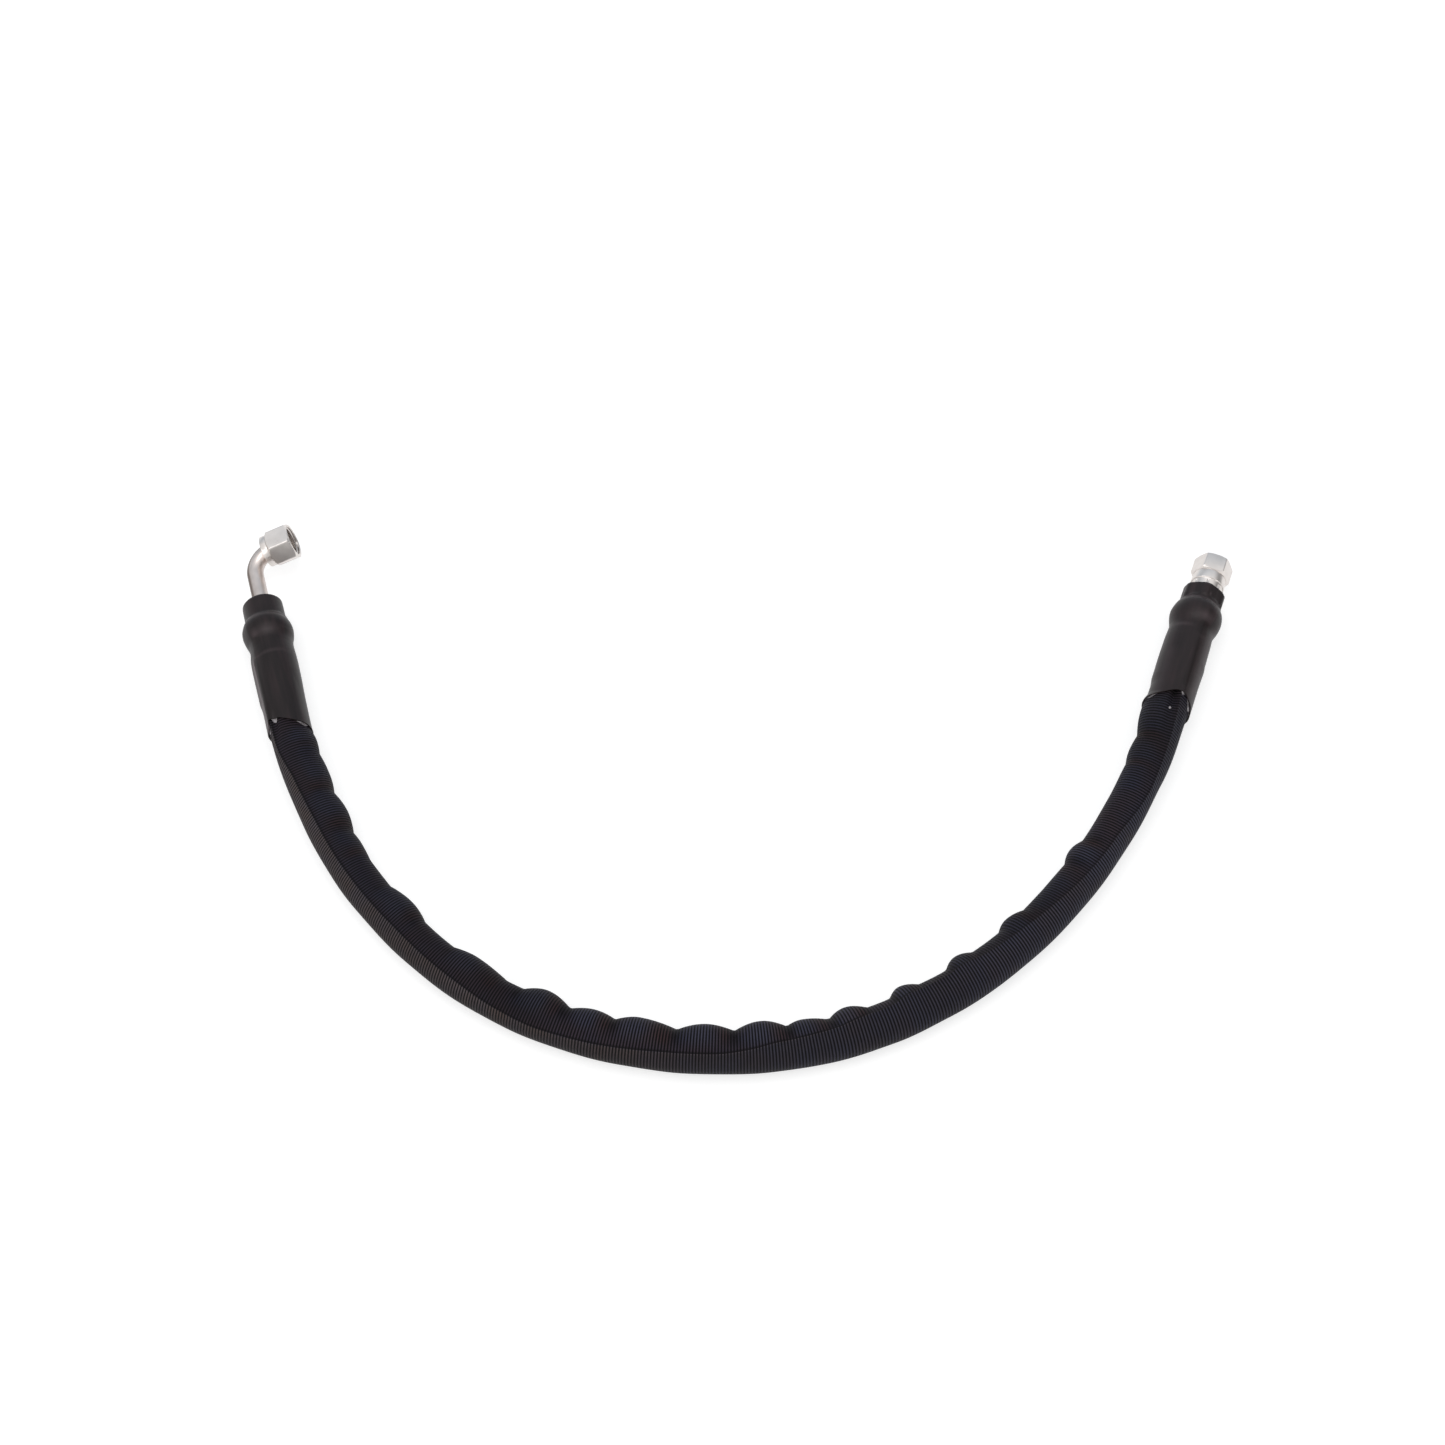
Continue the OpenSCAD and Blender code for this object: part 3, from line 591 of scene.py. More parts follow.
# Angle, reach round, first and last station, and height in mm of each ridge or groove.
ELBOW_RIDGES = [(57, 6, -38, -110, 0.7), (45, 5, -42, -104, -0.35), (100, 36, -8, -32, 0.6),
                (100, 36, -32, -78, 0.7), (-80, 45, -56, -110, -0.35), (-40, 9, -60, -96, 0.12)]
STRAIGHT_RIDGES = [
    (37, 5, -28, -78, -0.4), (14, 6, -40, -74, 0.2), (-5, 6, -28, -50, -0.15),
    (-90, 36, 20, -4, 0.8), (-85, 40, -2, -26, 0.9), (-85, 40, -20, -68, 0.9),
    (90, 62, -40, -98, 0.7)]
# The same, but how much painted highlight the skin has, and below zero how much dark brown painted
# shade: highlights on its creases, bulges and bands, and shade in its folds and below its bulges.
ELBOW_PAINTED_LIGHT = [
    (0, 999, -10.5, -14.5, 0.4), (0, 30, -20, -31, 0.35), (34, 9, -21, -31, 0.45),
    (38, 11, -27, -43, -0.8), (8, 60, -40.5, -44.5, 0.3), (66, 12, -40, -106, 1.1),
    (47, 5, -43, -104, -1.3), (0, 999, 10, -9, 0.08)]
STRAIGHT_PAINTED_LIGHT = [
    (0, 999, 2.2, -1.8, 0.55), (24, 20, -9, -18, 0.5), (30, 14, -16, -28, -0.6),
    (-30, 28, -20.5, -25, 0.4), (27, 5, -30, -70, -0.75), (58, 14, -22, -76, 0.35),
    (-35, 14, -40, -84, 0.2), (18, 3, 8, 3, 0.6), (70, 16, -14, -28, 0.3),
    (0, 999, 20, -98, 0.08)]


def ring_list(outside, mouth, step=0.9):
    """Evenly spaced rings through an outside, down to the mouth's furthest station."""
    last = min(station for angle, station in mouth)
    stations, radii = zip(*outside[::-1])
    corners = np.array([corner for corner in outside if corner[0] > last]
                       + [(last, np.interp(last, stations, radii))])
    run = np.concatenate([[0], np.cumsum(np.linalg.norm(np.diff(corners, axis=0), axis=1))])
    at = np.linspace(0, run[-1], int(run[-1] / step))
    soft = np.interp(at, run, corners[:, 1])
    soft[3:-1] = np.convolve(soft, [0.25, 0.5, 0.25], mode="same")[3:-1]
    return list(zip(np.interp(at, run, corners[:, 0]), soft))


# %% [markdown]
# The hot-melt lies between the tube and what it covers. At the mouth it stays just inside, and
# comes out as a narrow glossy lip only where the tube pressed hardest.

# %% Drawing them down
SHRINK_GAP, SHRINK_WALL = 1.05, 0.68  # what the tube keeps off the cloth, and its own wall
GLUE_GAP, GLUE_WALL = 0.32, 0.24
THICK_NECK = 0.6  # the straight tube is thicker by this much where it grips the hexagon
GLUE_BACK = 1.7  # the adhesive stays this far inside the mouth, but for its lips
heat_shrinks = {}
# The lips are given as angle, reach round, and how far each comes out (or stays back).
for fitting, outside, core, place, outward, mouth, ridges, painted_light_patches, lips in (
        ("elbow", ELBOW_OUTSIDE, elbow_core, elbow_end, 1, ELBOW_MOUTH, ELBOW_RIDGES, ELBOW_PAINTED_LIGHT,
         [(-45, 24, 3.3), (36, 6, 5), (54, 5, -6), (67, 5, 4.6), (150, 30, 1.8)]),
        ("straight", STRAIGHT_OUTSIDE, straight_core, straight_end, -1, STRAIGHT_MOUTH,
         STRAIGHT_RIDGES, STRAIGHT_PAINTED_LIGHT,
         [(66, 16, 5.6), (29, 7, 4.4), (3, 14, -7), (-55, 22, 3.3), (170, 30, 1.8)])):
    shrink = shrunk(fitting + "_shrink", ring_list(outside, mouth), core, place, outward,
                    SHRINK_GAP, SHRINK_WALL, mouth, ridges, painted_light_patches, "OUTSIDE",
                    neck=THICK_NECK if fitting == "straight" else 0)
    round_mouth = np.arange(-180, 181, 4.0)
    lip = np.interp(round_mouth, *zip(*mouth)) + GLUE_BACK
    for angle, wide, out in lips:
        lip = lip - out * np.exp(-((round_mouth - angle) / wide) ** 2) * (
            1 + 0.12 * np.sin(round_mouth * 0.21))
    glue_mouth = list(zip(round_mouth, lip))
    glue = shrunk(fitting + "_glue", ring_list(outside[3:], glue_mouth), core, place, outward,
                  GLUE_GAP, GLUE_WALL, glue_mouth, [], [], "OUTSIDE_SURFACE")
    heat_shrinks[fitting] = (glue, shrink)
    for piece, node_name, slot_name in (
            (glue, fitting + "_adhesive", "hot_melt"),
            (shrink, fitting + "_heat_shrink", "shrink_polyolefin")):
        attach(piece, "hose")
        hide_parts(node_name)
bpy.data.objects.remove(elbow_core)
bpy.data.objects.remove(straight_core)

# %% [markdown]
# One droplet of the hot melt has fallen on the cloth beside the straight fitting's mouth and set
# there. It is a ball cut flat, which stands on the cloth and belongs to the adhesive.

# %% A droplet of glue
DROPLET_S, DROPLET_ANGLE, DROPLET_R = 843.6, 5.2, 0.9
DROPLET_FOOT = -0.25  # the ball is cut flat this far below its middle
lay_down_tools()
bpy.ops.mesh.primitive_uv_sphere_add(segments=24, ring_count=16, radius=DROPLET_R * MM)
droplet = bpy.context.object
edit_all()
bpy.ops.transform.resize(value=(1, 1, 0.8))
bpy.ops.mesh.bisect(plane_co=(0, 0, DROPLET_FOOT * MM), plane_no=(0, 0, 1), use_fill=True,
                    clear_inner=True)
close_up()
at_s = np.array([DROPLET_S])
cloth_r = sleeve_shape(at_s, DROPLET_ANGLE - follow(at_s, FOLD_LINE))[0]
foot, above = (Vector(points_round(at_s * MM, np.array([[DROPLET_ANGLE]]), np.array([[r]]) * MM,
                                   follow(at_s, DRIFT) * MM)[0, 0])
               for r in (cloth_r + 0.1, cloth_r + 1))
upright = (above - foot).to_track_quat("Z", "X").to_matrix().to_4x4()
put(droplet, Matrix.Translation(foot) @ upright)
smooth(joined([heat_shrinks["straight"][0], droplet]), 50)
print("droplet at", tuple(round(x, 4) for x in foot))

# %% [markdown]
# ## Turned shapes
# What comes off a lathe is drawn as half an outline, one vertex extruded from corner to corner,
# and spun round the axis. The seam is then merged.

# %% Spinning an outline
DOUBLES = 0.001 * MM  # points closer together than this are merged


def spun(name, outline, steps=128):
    """A solid of revolution round z from a closed outline of (radius, station) in mm."""
    lay_down_tools()
    bpy.ops.mesh.primitive_plane_add(size=MM)
    piece = bpy.context.object
    piece.name = name
    edit_all()
    bpy.ops.mesh.merge(type="CENTER")
    radius, station = outline[0]
    bpy.ops.transform.translate(value=(radius * MM, 0, station * MM))
    for next_radius, next_station in outline[1:] + outline[:1]:
        bpy.ops.mesh.extrude_vertices_move(TRANSFORM_OT_translate={
            "value": ((next_radius - radius) * MM, 0, (next_station - station) * MM)})
        radius, station = next_radius, next_station
    bpy.ops.mesh.select_all(action="SELECT")
    bpy.ops.mesh.remove_doubles(threshold=DOUBLES)
    bpy.ops.mesh.select_all(action="SELECT")
    bpy.ops.mesh.spin(steps=steps, angle=2 * math.pi, center=(0, 0, 0), axis=(0, 0, 1))
    close_up(DOUBLES)
    return piece


def combine(piece, tool, how):
    """A Boolean with a tool that is then thrown away."""
    apply(piece, "BOOLEAN", object=tool, operation=how, solver="EXACT")
    bpy.data.objects.remove(tool)


# %% [markdown]
# ## The bent tube
# The elbow is a drawn steel tube, 10.5 mm across, brazed into the hose tail and bent tightly. It is
# made as the bender makes it: a straight length and a quarter turn round the former, which ends
# inside the flare seat. A dark brown reflection is painted in a band along the outside of the bend,
# as if the tube mirrored something dark there, so each vertex is told how near it is to that band.

# %% Bending the tube
TUBE_R, TUBE_BEND, TUBE_WALL = 5.25, 15, 1.5
TUBE_START = 0.55  # it stands this far off the hose's end, in the tail
# The band of painted dark reflection lies this far up from the outside of the bend.
DARK_REFLECTION_ANGLE = math.radians(37)  # the brown streak lies this far up from the outside of the bend


def bent_tube():
    """The elbow's tube, with its bent end in the seat."""
    start, run = TUBE_START, ELBOW_REACH - TUBE_BEND
    lay_down_tools()
    bpy.ops.mesh.primitive_circle_add(vertices=64, radius=TUBE_R * MM, location=(0, 0, start * MM))
    piece = bpy.context.object
    piece.name = "bent_tube"
    set_down()
    edit_all()
    for _ in range(12):
        bpy.ops.mesh.extrude_region_move(
            TRANSFORM_OT_translate={"value": (0, 0, (run - start) / 12 * MM)})
    bpy.ops.mesh.spin(steps=32, angle=-math.pi / 2, center=(TUBE_BEND * MM, 0, run * MM),
                      axis=(0, 1, 0))
    close_up(DOUBLES)
    up = 1 if (elbow_plane.to_3x3() @ Vector((0, 1, 0))).z > 0 else -1
    painted_dark_reflection = []
    for x, y, z in (vertex.co / MM for vertex in piece.data.vertices):
        outwards = -x if z < run else math.hypot(x - TUBE_BEND, z - run) - TUBE_BEND
        near = (outwards * math.cos(DARK_REFLECTION_ANGLE) + y * up * math.sin(DARK_REFLECTION_ANGLE)) / TUBE_R
        # Painted dark reflection on the band, and none where the bend is done, from 9 to 13 mm out.
        painted_dark_reflection.append(np.interp(near, [0.78, 0.95], [0, 1]) * np.interp(x, [9, 13], [1, 0]))
    tell(piece, "painted_dark_reflection", "FLOAT", "value", painted_dark_reflection)
    apply(piece, "SOLIDIFY", thickness=TUBE_WALL * MM, offset=-1)
    put(piece, elbow_plane)
    smooth(piece)
    return piece


tube = bent_tube()
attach(tube, "hose")
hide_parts("elbow_tube")

# %% [markdown]
# ## The swivel nuts
# A swivel nut starts as hexagonal bar. The lathe turns a round collar at the back, takes the
# corners off at 30 degrees, which leaves curved edges on the flats, and bores it. The thread is
# sixteen turns to the inch, a ridge wound with the Screw modifier.

# %% The pieces of a nut
NUT_FLATS = 22
CORNER_R = NUT_FLATS / 2 / math.cos(math.pi / 6)
FACE_R = NUT_FLATS / 2 - 0.3  # the round face at the back that the 30 degree cut leaves
JOURNAL_R, RELIEF_R, ROOT_R, CREST_R = 6.18, 9.1, 9.45, 8.7
PITCH = 25.4 / 16
LEAD_IN = 0.65  # the journal's bore opens by this much at the back, where the bent tube comes in
MOUTH_CHAMFER = 0.8  # the thread's mouth opens by this much
SUNK = 0.15  # the thread's ridge is sunk this far in the nut's wall


def hexagon_bar(bottom, top, turn):
    """Bar with softened corners between two stations."""
    lay_down_tools()
    bpy.ops.mesh.primitive_cylinder_add(
        vertices=6, radius=CORNER_R * MM, depth=(top - bottom) * MM,
        location=(0, 0, (top + bottom) / 2 * MM), rotation=(0, 0, math.radians(turn + 30)))
    bar = bpy.context.object
    set_down()
    edit_all("EDGE")
    bpy.ops.mesh.select_all(action="DESELECT")
    bpy.ops.object.mode_set(mode="OBJECT")
    for edge in bar.data.edges:
        a, b = (bar.data.vertices[i].co for i in edge.vertices)
        edge.select = abs(a.z - b.z) > MM
    bpy.ops.object.mode_set(mode="EDIT")
    bpy.ops.mesh.bevel(offset=0.5 * MM, segments=3)
    bpy.ops.object.mode_set(mode="OBJECT")
    return bar


def thread(start, stop):
    """A helical ridge with closed ends, between two stations."""
    half_root, half_crest = PITCH * 0.44, PITCH * 0.09
    lay_down_tools()
    bpy.ops.mesh.primitive_plane_add(size=MM)
    ridge = bpy.context.object
    corners = [(ROOT_R + SUNK, -half_root), (CREST_R, -half_crest),
               (CREST_R, half_crest), (ROOT_R + SUNK, half_root)]
    for i, (r, z) in zip((0, 1, 3, 2), corners):
        ridge.data.vertices[i].co = (r * MM, 0, (start + half_root + z) * MM)
    turns = (stop - start - 2 * half_root) / PITCH
    whole = max(int(turns), 1)
    apply(ridge, "SCREW", axis="Z", angle=2 * math.pi * turns / whole,
          screw_offset=PITCH * turns / whole * MM, iterations=whole, steps=72, render_steps=72,
          use_merge_vertices=False)
    pick(ridge)
    edit_all()
    close_up(DOUBLES / 10)
    return ridge


def swivel_nut(name, collar, collar_end, back, shoulder, head_front, front, turn, front_r,
               marks=None):
    """A nut from its turned collar, its hexagon and its hollow, all as stations on its axis.
    front_r is the radius of the round face at the front, and marks is a tool that dents it."""
    slope = math.tan(math.pi / 6)
    rim_r = CORNER_R + 0.3  # just outside the corners
    nut = hexagon_bar(collar_end, front, turn)
    nut.name = name
    combine(nut, spun("blank", [
        (0, collar_end - 1), (FACE_R - 1, collar_end - 0.01), (FACE_R, collar_end),
        (rim_r, collar_end + (CORNER_R - FACE_R) * slope * 1.3),
        (rim_r, front - (rim_r - front_r) * slope), (front_r, front), (0, front + 1)]),
        "INTERSECT")
    combine(nut, spun("collar", collar), "UNION")
    if marks:
        combine(nut, marks, "DIFFERENCE")
    mouth_r = ROOT_R + MOUTH_CHAMFER
    combine(nut, spun("hollow", [
        (0, back - 1), (JOURNAL_R + LEAD_IN, back - 1), (JOURNAL_R + LEAD_IN, back),
        (JOURNAL_R, back + 1), (JOURNAL_R, shoulder), (RELIEF_R, shoulder),
        (RELIEF_R, head_front + 0.2), (ROOT_R, head_front + 0.4),
        (ROOT_R, front - MOUTH_CHAMFER + 0.3), (mouth_r, front), (mouth_r, front + 1),
        (0, front + 1)]), "DIFFERENCE")
    apply(nut, "BEVEL", width=0.2 * MM, segments=2, limit_method="ANGLE",
          angle_limit=math.radians(28), use_clamp_overlap=True)
    return joined([nut, thread(head_front + 0.5, front - 0.35)])


# %% The elbow's nut
elbow_nut = swivel_nut(
    "elbow_nut_piece",
    [(0, 10), (9.65, 10), (10.1, 10.25), (10.25, 10.7), (10.25, 14.2), (9.9, 14.4), (9.9, 15.5),
     (0, 15.5)],
    14.5, 10, 14, 19.6, 29.8, 5, 10.6)
put(elbow_nut, elbow_outlet)
smooth(elbow_nut, 32)
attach(elbow_nut, "elbow_nut")
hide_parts("elbow_swivel_nut")
print("elbow nut", len(elbow_nut.data.polygons), "faces")

# %% [markdown]
# The straight nut is held on its tail by a thin skirt that a press has staked inwards all round.
# Each mark is a short oval dent, cut with a flattened ball.

# %% The straight fitting's nut
def staking_marks(radius, station, count):
    """Flattened balls in a ring, the tool that cuts the dents."""
    balls = []
    lay_down_tools()
    for a in np.arange(count) * 2 * math.pi / count:
        bpy.ops.mesh.primitive_uv_sphere_add(
            segments=20, ring_count=12, radius=MM,
            location=(radius * math.cos(a) * MM, radius * math.sin(a) * MM, station * MM),
            rotation=(0, 0, a), scale=(0.55, 0.85, 1.6))
        balls.append(bpy.context.object)
    marks = joined(balls)
    set_down()
    return marks


straight_nut = swivel_nut(
    "straight_nut_piece",
    [(0, 13.5), (9.4, 13.5), (9.8, 13.8), (10, 14.7), (10, 19.2), (10.15, 19.5), (10.45, 19.5),
     (10.75, 19.8), (10.75, 26.0), (10.5, 26.3), (10.5, 27.5), (0, 27.5)],
    26.5, 13.5, 17.5, 26.1, 38.8, 35, 11.2, staking_marks(10.1, 17.1, 8))
put(straight_nut, straight_end)
smooth(straight_nut, 32)
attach(straight_nut, "straight_nut")
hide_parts("straight_swivel_nut")
print("straight nut", len(straight_nut.data.polygons), "faces")

# %% [markdown]

# %% [markdown]
# ## Colours and a small node helper
# Colours are written as they look on screen and turned to linear light by one function. One small
# function adds a shader node with its settings and its links, and gives back its outputs.

# %% Helpers for materials
def light(hex_colour):
    """sRGB hex to linear RGBA."""
    rgb = [int(hex_colour[i:i + 2], 16) / 255 for i in (1, 3, 5)]
    return tuple(c / 12.92 if c <= 0.04045 else ((c + 0.055) / 1.055) ** 2.4 for c in rgb) + (1,)


def fill(node, inputs):
    """Gives a node's inputs their values or links, by name or number, or in their own order."""
    for key, value in inputs.items() if isinstance(inputs, dict) else enumerate(inputs):
        if isinstance(value, bpy.types.NodeSocket):
            node.id_data.links.new(value, node.inputs[key])
        else:
            node.inputs[key].default_value = value


def add(tree, kind, inputs=(), stops=(), **settings):
    """Adds a node with its settings, inputs and, on a colour ramp, its stops."""
    node = tree.nodes.new("ShaderNode" + kind)
    for key, value in settings.items():
        setattr(node, key, value)
    fill(node, inputs)
    while stops and len(node.color_ramp.elements) < len(stops):
        node.color_ramp.elements.new(0.5)
    for number, (position, colour) in enumerate(stops):
        node.color_ramp.elements[number].position = position
        node.color_ramp.elements[number].color = light(colour)
    return node.outputs


def new_finish(name, **constants):
    """A material, its tree, and its Principled shader with the constants on its own sockets."""
    material = bpy.data.materials.new(name)
    material.use_nodes = True
    shader = material.node_tree.nodes["Principled BSDF"]
    fill(shader, {key.replace("_", " "): value for key, value in constants.items()})
    return material, material.node_tree, shader


def dress(piece, material):
    piece.data.materials.clear()
    piece.data.materials.append(material)


# %% [markdown]
# ## Woven nylon
# The sleeve is plain-woven black nylon with a thick weft, so it shows as rounded ribs across the
# hose with dark gaps between them, crossed by warp threads 0.9 mm apart. The yarn is dyed
# blue-black, so the inside of the bend looks like ink. The outside of the bend is painted paler and
# a shade browner for the light that falls on that side, and it is dusty in patches.

# %% The woven nylon finish
WARP_PITCH = 0.9
woven, tree, shader = new_finish("woven_black_nylon", Roughness=0.6, Specular_IOR_Level=0.1)
cloth = add(tree, "SeparateXYZ", (add(tree, "UVMap", uv_map="cloth")["UV"],))
waves = []
for axis, pitch in (("Y", RIB_PITCH), ("X", WARP_PITCH)):
    turns = add(tree, "Math", (cloth[axis], 2 * math.pi / (pitch * MM)), operation="MULTIPLY")[0]
    wave = add(tree, "Math", (turns,), operation="SINE")[0]
    waves.append(add(tree, "Math", (wave, 0.5, 0.5), operation="MULTIPLY_ADD")[0])
rib = add(tree, "Math", (waves[0], 0.7), operation="POWER")[0]
rib = add(tree, "Math", (rib, 0.88), operation="MULTIPLY")[0]
weave = add(tree, "Math", (waves[1], 0.12, rib), operation="MULTIPLY_ADD")[0]
# The dust and the painted light lie in patches about 4 mm across, and the dye is uneven over about
# 17 mm.
position = add(tree, "TexCoord")["Object"]
dust_and_light_patches, blotch = (add(tree, "TexNoise", {"Vector": position, "Scale": scale, "Detail": detail})["Fac"]
                for scale, detail in ((260.0, 4.0), (60.0, 2.0)))
look = add(tree, "SeparateColor", (add(tree, "Attribute", attribute_name="cloth_look")["Color"],))
# Red is painted light and dust, green is painted warm light, and blue is painted shade.
light_and_dust, warm_light_and_dye, darkness = (look[channel] for channel in ("Red", "Green", "Blue"))
warm_light_and_dye = add(tree, "Math", (warm_light_and_dye, 0.6), operation="SUBTRACT")[0]
warm_light_and_dye = add(tree, "Math", (blotch, 1.2, warm_light_and_dye), operation="MULTIPLY_ADD")[0]
dust_and_light_patches = add(tree, "Math", (dust_and_light_patches, 0.8, 0.6), operation="MULTIPLY_ADD")[0]
light_and_dust = add(tree, "Math", (light_and_dust, dust_and_light_patches), operation="MULTIPLY")[0]
# From the gaps to the tops of the ribs: ink and brown, plain and paler. Brown is painted warm light
# and uneven dye, and paler is painted light and dust.
tones = [add(tree, "ValToRGB", (weave,), stops)["Color"] for stops in (
    [(0.42, "#020204"), (0.8, "#302f3e")], [(0.42, "#040202"), (0.8, "#392b2e")],
    [(0.4, "#040406"), (0.82, "#4e4d5b")], [(0.4, "#060404"), (0.82, "#584c49")])]
plain_unlit, lit_and_dusted = (add(tree, "Mix", {0: warm_light_and_dye, 6: ink, 7: brown}, data_type="RGBA")[2]
                 for ink, brown in (tones[:2], tones[2:]))
colour = add(tree, "Mix", {0: light_and_dust, 6: plain_unlit, 7: lit_and_dusted}, data_type="RGBA")[2]
# Painted shade takes the colour towards black.
colour = add(tree, "Mix", {0: darkness, 6: colour, 7: light("#040304")}, data_type="RGBA")[2]
relief = add(tree, "Bump", {"Height": weave, "Strength": 0.9, "Distance": 0.5 * MM})
fill(shader, {"Base Color": colour, "Normal": relief["Normal"]})
dress(sleeve, woven)

# %% [markdown]
# How much painted light and dust, painted warm light and painted shade the cloth has is told to each
# vertex as three values of one attribute. The outside of the bend is painted paler, with dust, and
# the fold has a thin painted highlight with a line of painted shade beside it. Each bulge is painted
# blue-black where it rises and warmer where it falls, as if lit cool and warm from its two sides,
# with a painted highlight on its crown, and the pinches between get the darkest painted shade. There
# is painted shade too at the two mouths, and by three tables, for its inner side, its top and the
# side turned to the outside.

# %% The look of each point of the cloth
grid_angle = (fold + grid_o + 180) % 360 - 180
near_fold = np.abs(grid_o)
# The outside of the bend is painted paler, with dust, and the fold line itself gets a painted
# highlight.
lit_and_dusty = (grid_o > 0) * np.clip((175 - grid_o) / 20, 0, 1)
lit_and_dusty = np.where(near_fold < 0.1, 1.2, lit_and_dusty) * np.interp(
    grid_s, [90, 140, 330, 480, 560, 640, 740, 800, 932],
    [0.4, 0.95, 0.95, 0.75, 0.5, 0.45, 0.5, 0.3, 0.25])
# Painted warm light: browner on the outside of the bend towards the elbow end.
warm_light = np.where(grid_o > 0, np.interp(grid_s, [425, 450, 500, 600], [0.7, 0.4, 0.15, 0.1]), 0.45)
pinch_shade = np.zeros_like(warm_light)
inside_bend = np.clip(-np.sin(np.radians(grid_angle)) * 1.6 + 0.65, 0, 1) * (grid_o < 0)
# Each bulge is painted cool where it rises and warm where it falls, as if lit from two sides, with
# painted shade in the pinches at its ends and a painted highlight on its crown.
for start, peak, end, height in GATHERS:
    on_bulge = np.clip(np.minimum((grid_s - start) / 4, (end - grid_s) / 4), 0, 1) * inside_bend
    falls = np.clip((grid_s - peak) / (end - peak) * 1.6 - 0.1, 0, 1)
    warm_light = warm_light * (1 - on_bulge) + falls * on_bulge
    for edge in (start, end):
        pinch_shade = np.maximum(pinch_shade, inside_bend * 0.15 * height * np.exp(-((grid_s - edge) / 3) ** 2))
    rises = np.clip(1.3 - np.abs(grid_s - peak + 2) / (end - start) * 3, 0, 1)
    lit_and_dusty = np.maximum(lit_and_dusty, 0.09 * height * on_bulge * rises)
# Painted shade inside the two mouths of the heat-shrink.
shade_at_mouths = [0.95 * np.exp(-((grid_s - at_s) / 4.5) ** 2 - ((grid_angle - at_angle) / wide) ** 2)
          for at_s, at_angle, wide in ((856, 5, 15), (94, 57, 9))]
# Painted shade along the hose, for the inner side, the top and the side turned to the outside.
shade_in, shade_mid, shade_out = (np.interp(grid_s, *zip(*table)) for table in (
    [(90, 0.25), (300, 0.3), (345, 0.45), (385, 0), (560, 0), (600, 0.4), (680, 0.4), (720, 0),
     (780, 0), (820, 0.45)],
    [(160, 0.05), (282, 0.2), (313, 0), (345, 0), (395, 0.2), (420, 0.22), (444, 0.42),
     (520, 0.42), (572, 0.34), (600, 0.36), (630, 0.22), (700, 0.1), (740, 0), (780, 0),
     (830, 0.3)],
    [(160, 0.2), (247, 0.4), (494, 0.4), (519, 0.28), (600, 0.24), (630, 0.12), (700, 0),
     (780, 0), (830, 0.3)]))
turned_out = np.clip((grid_angle - 45) / 30, 0, 1)
shade = np.where(grid_o > 0, shade_mid + (shade_out - shade_mid) * turned_out, shade_in)
# A line of painted shade just beside the fold.
shade_beside_fold = np.exp(-((grid_o + 3.2) / 2.6) ** 2) * (near_fold > 0.1)
dark = np.maximum.reduce([pinch_shade, shade, *shade_at_mouths,
                          np.interp(grid_s, [600, 690], [0.9, 0.55]) * shade_beside_fold])
looks = np.stack([lit_and_dusty, warm_light, dark, np.ones_like(dark)], -1)
hidden = looks[kept_rings(len(sleeve_s), INNER_EVERY[0])][:, ::INNER_EVERY[1]]
looks = np.concatenate([looks.reshape(-1, 4), hidden.reshape(-1, 4)])
tell(sleeve, "cloth_look", "FLOAT_COLOR", "color", looks.astype(np.float32).ravel())
print("outside of the bend:", f"{(lit_and_dusty > 0).mean():.2f} of the cloth")

# %% [markdown]
# ## Shrunk polyolefin, hot melt and rubber
# Heat-shrink is extruded polyolefin: a warm, semi-matt black, with faint streaks about 4 mm wide
# along it from the extrusion and a fine grain from the hot air, with patches of painted highlight
# and dark brown painted shade. The adhesive is a glossy, milky hot melt, cloudy in patches of
# 3 mm. The hose's rubber is matt, with the marks of the cloth it was cured in, 0.7 mm apart.

# %% The heat-shrink finish
shrink_finish, tree, shader = new_finish("shrunk_black_polyolefin", Specular_IOR_Level=0.24)
position = add(tree, "TexCoord")["Object"]
drawn = add(tree, "Attribute", attribute_name="drawn")["Vector"]
# The attribute holds painted highlight above zero and painted shade below zero.
painted_light_level = add(tree, "Attribute", attribute_name="painted_light_level")["Fac"]
grain = add(tree, "TexNoise", {"Vector": position, "Scale": 900.0, "Detail": 5.0})["Fac"]
streaks = add(tree, "TexNoise", {"Vector": drawn, "Scale": 240.0, "Detail": 3.0})["Fac"]
colour = add(tree, "ValToRGB", (streaks,),
             [(0.3, "#161011"), (0.5, "#1d1617"), (0.72, "#291e20")])["Color"]
# The colours of the painted highlight and of the painted shade.
for sign, patch in ((1, "#504548"), (-1, "#130b0b")):
    share = add(tree, "Math", (painted_light_level, sign), operation="MULTIPLY", use_clamp=True)[0]
    colour = add(tree, "Mix", {0: share, 6: colour, 7: light(patch)}, data_type="RGBA")[2]
rough = add(tree, "MapRange", {"Value": streaks, "To Min": 0.34, "To Max": 0.48})[0]
relief = add(tree, "Bump", {"Height": grain, "Strength": 0.2, "Distance": 0.1 * MM})["Normal"]
relief = add(tree, "Bump", {"Height": streaks, "Normal": relief, "Strength": 0.3,
                            "Distance": 0.4 * MM})["Normal"]
fill(shader, {"Base Color": colour, "Roughness": rough, "Normal": relief})

